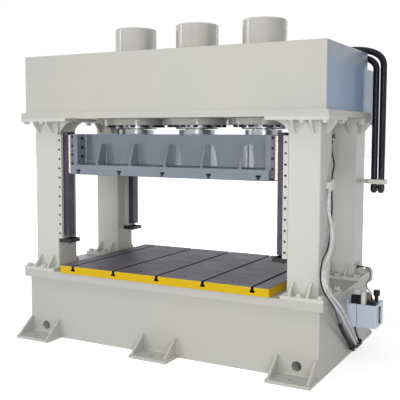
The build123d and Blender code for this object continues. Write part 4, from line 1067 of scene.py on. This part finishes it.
@dataclass
class SlideFittings:
    """The slide's welds and the screws of its gibs."""

    web_x: float = 1.050
    web_y: float = 0.495
    plate_z: float = 1.812
    gusset_xs: tuple[float, ...] = (-0.8, -0.4, 0.0, 0.4, 0.8)
    gusset_half: float = 0.0125
    gusset_foot: float = 0.148
    gusset_rise: float = 0.210
    gusset_leg: float = 0.008
    end_y: float = 0.640
    end_z: float = 2.123
    top_z: float = 2.0954
    pitch: float = 0.092
    screw_count: int = 5
    screw_x: float = 1.116
    screw_y: float = 0.640
    screw_radius: float = 0.011
    screw_height: float = 0.008
    bolt_count: int = 3
    bolt_x: float = 1.050
    bolt_y: float = 0.5675
    bolt_drop: float = 0.0184
    bolt_flats: float = 0.030
    bolt_height: float = 0.014

    def welds(self) -> None:
        """The seams of the web, the ribs and the end plates on the slotted plate."""
        draft, z = Draft(), self.plate_z
        for side in (-1, 1):
            y = side * self.web_y
            draft.bead((-self.web_x, y, z), (self.web_x, y, z), (0, side, 0), (0, 0, 1))
            for x in self.gusset_xs:
                for face in (-1, 1):
                    draft.gusset_seams((x + face * self.gusset_half, y, z), face, side * self.gusset_foot,
                                       self.gusset_rise, self.gusset_leg)
            for end in (-1, 1):
                x = end * self.web_x
                draft.bead((x, y, z), (x, side * self.end_y, z), (-end, 0, 0), (0, 0, 1))
                draft.bead((x, y, z), (x, y, self.end_z), (-end, 0, 0), (0, side, 0))
        draft.piece("slide_welds", SLIDE_ENAMEL, Body.SLIDE, "blue_grey_paint")

    def screws(self) -> None:
        """Socket head screws down the gibs, and hexagon heads inside the end plates."""
        draft = Draft()
        for sx, sy in CORNERS:
            for k in range(self.screw_count):
                place = (sx * self.screw_x, sy * self.screw_y, self.top_z - k * self.pitch)
                draft.screw_head(seat_at(place, (0, sy, 0)), self.screw_radius, self.screw_height)
            for k in range(self.bolt_count):
                place = (sx * self.bolt_x, sy * self.bolt_y, self.top_z - self.bolt_drop - k * self.pitch)
                draft.hexagon_head(seat_at(place, (-sx, 0, 0)), self.bolt_flats, self.bolt_height)
        draft.piece("gib_screw_heads", BLACK_OXIDE, Body.SLIDE, "dark_screws", ["gib_screws"])

    def build(self) -> None:
        """Makes the welds and the screws."""
        self.welds()
        self.screws()


@dataclass
class GuideScrews:
    """The socket head screws down the front of each rail strip."""

    x: float = 1.255
    y: float = 0.679
    low_z: float = 1.0891
    pitch: float = 0.097
    count: int = 11
    radius: float = 0.010
    height: float = 0.007

    def build(self) -> None:
        """Makes all four rows of heads."""
        draft = Draft()
        for sx, sy in CORNERS:
            for k in range(self.count):
                seat = seat_at((sx * self.x, sy * self.y, self.low_z + k * self.pitch), (0, sy, 0))
                draft.screw_head(seat, self.radius, self.height)
        draft.piece("rail_screw_heads", BLACK_OXIDE, Body.FRAME, "dark_screws", ["rail_screws"])


@dataclass
class Lubricator:
    """The lubricator's fine fittings: motor fins, lid screws, the gauge and the terminal box's lid."""

    motor_foot: Point = (1.753, 0.092, 0.525)
    motor_radius: float = 0.023
    motor_height: float = 0.118
    fin_count: int = 18
    tank_low: Point = (1.699, 0.060, 0.305)
    tank_high: Point = (1.883, 0.330, 0.525)
    lid_edge: float = 0.012
    lid_front: float = 0.030
    pump_screw_x: tuple[float, float] = (1.630, 1.684)
    pump_screw_z: tuple[float, float] = (0.325, 0.505)
    gauge_y: float = 0.195
    gauge_z: tuple[float, float] = (0.335, 0.495)
    gauge_half: float = 0.019
    gauge_thick: float = 0.008
    gauge_end: float = 0.034
    rail_end: float = 0.032
    rail_inner: float = 0.012
    window_half: float = 0.0115
    window_end: float = 0.0345
    oil_rise: float = 0.012
    box_low: Point = (1.641, 0.066, 0.525)
    box_high: Point = (1.727, 0.118, 0.608)
    lid_thick: float = 0.010
    rib_count: int = 4
    rib_low: float = 0.020
    rib_pitch: float = 0.014
    rib_inset: float = 0.016
    rib_width: float = 0.005

    def motor(self) -> None:
        """The motor: a flange, a finned case and a smooth fan cover with a dished top."""
        draft, r, height = Draft(), self.motor_radius, self.motor_height
        steps = self.fin_count * 4
        fins = [r if k % 4 in (0, 1) else r * 0.86 for k in range(steps)]
        draft.stack(Matrix.Translation(self.motor_foot), [
            (r, 0.0), (r, 0.008), (r * 0.84, 0.010), (fins, 0.012), (fins, 0.078), (r * 0.84, 0.080), (r, 0.083),
            (r, 0.112), (r * 0.9, 0.1165), (r * 0.55, height), (r * 0.5, height - 0.002)], steps)
        draft.piece("lubricator_motor_case", WHITE_ENAMEL, Body.FRAME, "white_paint", ["lubricator_motor"])

    def screws(self) -> None:
        """Pan head screws round the tank's lid and on the front of the pump."""
        draft = Draft()
        (x0, y0, _), (x1, y1, top) = self.tank_low, self.tank_high
        for x in (x0 + self.lid_edge, (x0 + x1) / 2, x1 - self.lid_edge):
            for y in (y0 + self.lid_front, y1 - self.lid_edge):
                draft.pan_head(seat_at((x, y, top), (0, 0, 1)))
        for x in self.pump_screw_x:
            for z in self.pump_screw_z:
                draft.pan_head(seat_at((x, y0, z), (0, -1, 0)))
        draft.piece("lubricator_screws", TURNED_STEEL, Body.FRAME, "ground_steel")

    def gauge(self) -> None:
        """The level gauge: a moulded frame with a block at each end, a clear window, and oil behind it."""
        x0, thick, y, half = self.tank_high[0], self.gauge_thick, self.gauge_y, self.gauge_half
        low, high = self.gauge_z
        draft = Draft()
        for z0, z1 in ((low, low + self.gauge_end), (high - self.gauge_end, high)):
            draft.block((x0, y - half, z0), (x0 + thick, y + half, z1), 0.0015)
        for y0, y1 in ((y - half, y - self.rail_inner), (y + self.rail_inner, y + half)):
            draft.block((x0, y0, low + self.rail_end), (x0 + thick, y1, high - self.rail_end), 0.001)
        draft.piece("gauge_frame", BLACK_ABS, Body.FRAME, "gauge_glass", ["lubricator_gauge"])
        foot, head, level = low + self.window_end, high - self.window_end, (low + high) / 2 + self.oil_rise
        for name, finish, slot, (inner, outer), (z0, z1) in (
                ("gauge_window", GAUGE_ACRYLIC, "gauge_glass", (0.0045, thick - 0.001), (foot, head)),
                ("gauge_oil", GAUGE_OIL, "gauge_glass", (0.0, 0.004), (foot, level)),
                ("gauge_back", WHITE_ENAMEL, "white_paint", (0.0, 0.002), (level + 0.0005, head))):
            draft = Draft()
            draft.block((x0 + inner, y - self.window_half, z0), (x0 + outer, y + self.window_half, z1), 0.0005)
            draft.piece(name, finish, Body.FRAME, slot)

    def terminal_box(self) -> None:
        """The terminal box: a moulding, a lid on its front and ribs across the lid."""
        (x0, y0, z0), (x1, y1, z1) = self.box_low, self.box_high
        draft = Draft()
        draft.block((x0 + 0.002, y0 + 0.012, z0), (x1 - 0.002, y1, z1 - 0.002), 0.002)
        draft.block((x0, y0, z0 + 0.002), (x1, y0 + self.lid_thick, z1), 0.0025)
        for k in range(self.rib_count):
            z = z0 + self.rib_low + k * self.rib_pitch
            draft.block((x0 + self.rib_inset, y0 + 0.0005, z), (x1 - self.rib_inset, y0 + 0.003, z + self.rib_width),
                        0.001)
        draft.piece("terminal_box_moulding", BLACK_ABS, Body.FRAME, "black_plastic", ["lubricator_terminal_box"])

    def build(self) -> None:
        """Makes the lubricator's fittings and its grease pipe."""
        self.motor()
        self.screws()
        self.gauge()
        self.terminal_box()
        Cord("grease_pipe", [
            (1.598, 0.486, 0.806), (1.652, 0.474, 0.816), (1.704, 0.432, 0.804), (1.738, 0.392, 0.762),
            (1.746, 0.330, 0.722), (1.742, 0.250, 0.704), (1.752, 0.168, 0.688), (1.790, 0.118, 0.664),
            (1.832, 0.084, 0.634), (1.838, 0.076, 0.592),
        ], 0.010, 0.595, CABLE_PVC, "black_cable", Stiffness.STIFF).build()


def seen_rays(add: Adder) -> Node:
    """1 for what the camera sees directly, in gloss or through glass, and 0 for the light on the press.

    Args:
        add: Adds a node to the floor's or the surroundings' tree.

    Returns:
        The node with that value.
    """
    ray = add("LightPath").outputs
    direct = add("Math", {0: ray["Is Camera Ray"], 1: ray["Is Glossy Ray"]}, operation="MAXIMUM")
    return add("Math", {0: direct, 1: ray["Is Transmission Ray"]}, operation="MAXIMUM")


@dataclass(frozen=True)
class PaleFloor(Finish):
    """A pale studio floor that runs out to white, and keeps the press's shadow."""

    colour: str = "#F4F4F4"
    near: float = 3.0
    far: float = 9.0
    near_level: float = 0.62
    dust_mm: float = 60.0

    def look(self, add: Adder, place: Socket) -> dict[str, Any]:
        """White to the camera far away, and a plain matt floor near the press.

        Args:
            add: Adds a node.
            place: The position on the floor.

        Returns:
            Values and nodes for the surface shader.
        """
        away = add("VectorMath", {0: place}, operation="LENGTH")
        lift = add("MapRange", {0: away, 1: self.near, 2: self.far, 3: self.near_level, 4: 1.0})
        dust = add("TexNoise", {"Vector": place, "Scale": per_metre(self.dust_mm), "Detail": 2.0})
        return {"Base Color": linear(self.colour), "Roughness": 0.9, "Emission Color": WHITE,
                "Emission Strength": add("Math", {0: seen_rays(add), 1: lift}, operation="MULTIPLY"),
                "Normal": add("Bump", {"Strength": 0.02, "Distance": 0.001, "Height": dust})}


@dataclass(frozen=True)
class Lamp:
    """A soft box that faces the press.

    The azimuth is 0 before the press and 90 on its right, and the elevation is the angle above the point that
    it aims at, both in degrees.
    """

    name: str
    azimuth: float
    elevation: float
    distance: float
    size: tuple[float, float]
    watts: float
    reach: LampReach
    aim: Point = (0.0, 0.0, 1.5)

    def build(self) -> None:
        """Places the lamp and sets what it reaches."""
        data = bpy.data.lights.new(self.name, "AREA")
        data.shape = "RECTANGLE"
        data.size, data.size_y = self.size
        data.energy = self.watts
        made = put(self.name, data)
        a, e = math.radians(self.azimuth), math.radians(self.elevation)
        back = Vector((math.sin(a) * math.cos(e), -math.cos(a) * math.cos(e), math.sin(e)))
        made.location = Vector(self.aim) + back * self.distance
        made.rotation_mode = "QUATERNION"
        made.rotation_quaternion = back.to_track_quat("Z", "Y")
        made.visible_diffuse = self.reach is not LampReach.GLOSS
        made.visible_glossy = self.reach is not LampReach.MATT


@dataclass
class Studio:
    """The floor, the lamps, the surroundings and the camera."""

    floor_radius: float = 60.0
    floor_drop: float = 0.0005
    floor_sides: int = 64
    focal_px: float = 706.98
    picture_px: float = 400.0
    centre_px: tuple[float, float] = (206.30, 192.47)
    place: Point = (3.5481, -6.4288, 2.1267)
    yaw: float = 28.136
    pitch: float = 4.720
    roll: float = 0.173
    ambient: float = 0.28
    lamps: ClassVar[tuple[Lamp, ...]] = (
        Lamp("left_soft_box", -24.0, 6.0, 10.0, (4.0, 3.6), 215.0, LampReach.MATT),
        Lamp("right_soft_box", 30.0, 7.0, 10.0, (4.0, 3.6), 365.0, LampReach.MATT),
        Lamp("ceiling_soft_box", -20.0, 62.0, 9.0, (3.0, 3.0), 235.0, LampReach.MATT),
        Lamp("rear_soft_box", 207.0, 10.0, 10.0, (4.0, 3.6), 200.0, LampReach.MATT),
        Lamp("left_strip", -67.0, 8.0, 8.0, (0.4, 4.0), 55.0, LampReach.GLOSS, (0.0, 0.0, 2.2)),
        Lamp("front_strip", 28.0, 0.0, 9.0, (0.16, 3.6), 70.0, LampReach.GLOSS, (0.0, 0.0, 1.8)),
        Lamp("right_strip", 157.0, 8.0, 8.0, (0.12, 4.0), 12.0, LampReach.GLOSS, (0.0, 0.0, 2.2)))

    def floor(self) -> None:
        """A wide pale floor under the press."""
        sides = self.floor_sides
        mesh = bpy.data.meshes.new("studio_floor")
        mesh.from_pydata(ring(self.floor_radius, -self.floor_drop, sides), [], [list(range(sides))])
        mesh.materials.append(PaleFloor("studio_pale_floor").material())
        put("studio_floor", mesh)

    def surroundings(self) -> None:
        """An even pale room, which the camera and the gloss see as white."""
        world = bpy.data.worlds.new("studio_room")
        world.use_nodes = True
        world.node_tree.nodes.clear()
        add = partial(add_node, world.node_tree)
        level = add("MapRange", {0: seen_rays(add), 1: 0.0, 2: 1.0, 3: self.ambient, 4: 1.0})
        light = add("Background", {"Color": WHITE, "Strength": level})
        add("OutputWorld", {"Surface": light})
        bpy.context.scene.world = world

    def camera(self) -> None:
        """The camera at the photograph's place, with its lens and its small shift."""
        data = bpy.data.cameras.new("camera")
        data.sensor_width = 36.0
        data.lens = self.focal_px / self.picture_px * data.sensor_width
        data.shift_x = (self.picture_px / 2 - self.centre_px[0]) / self.picture_px
        data.shift_y = (self.centre_px[1] - self.picture_px / 2) / self.picture_px
        data.clip_end = 200.0
        made = put("camera", data)
        a, e, r = (math.radians(v) for v in (self.yaw, self.pitch, self.roll))
        ahead = Vector((-math.sin(a) * math.cos(e), math.cos(a) * math.cos(e), -math.sin(e)))
        right = Vector((math.cos(a), math.sin(a), 0.0))
        down = ahead.cross(right)
        across = right * math.cos(r) - down * math.sin(r)
        below = right * math.sin(r) + down * math.cos(r)
        made.matrix_world = Matrix.Translation(self.place) @ Matrix((across, -below, -ahead)).transposed().to_4x4()
        bpy.context.scene.camera = made

    def build(self) -> None:
        """Sets the stage."""
        self.floor()
        self.surroundings()
        for lamp in self.lamps:
            lamp.build()
        self.camera()
        bpy.context.scene.view_settings.view_transform = "Standard"


def main() -> None:
    """Dresses the press and sets it in the studio, and reports each piece."""
    logging.basicConfig(level=logging.INFO, format="%(name)s: %(message)s")
    log.info("%d solids dressed", dress_nodes())
    for assembly in (Studio(), Electrics(), Hydraulics(), Weldments(), SlideFittings(), GuideScrews(), Lubricator()):
        before = set(bpy.data.objects.keys())
        assembly.build()
        for name in sorted(set(bpy.data.objects.keys()) - before):
            log.info("%s: %s built", type(assembly).__name__, name)


if __name__ == "__main__":
    main()
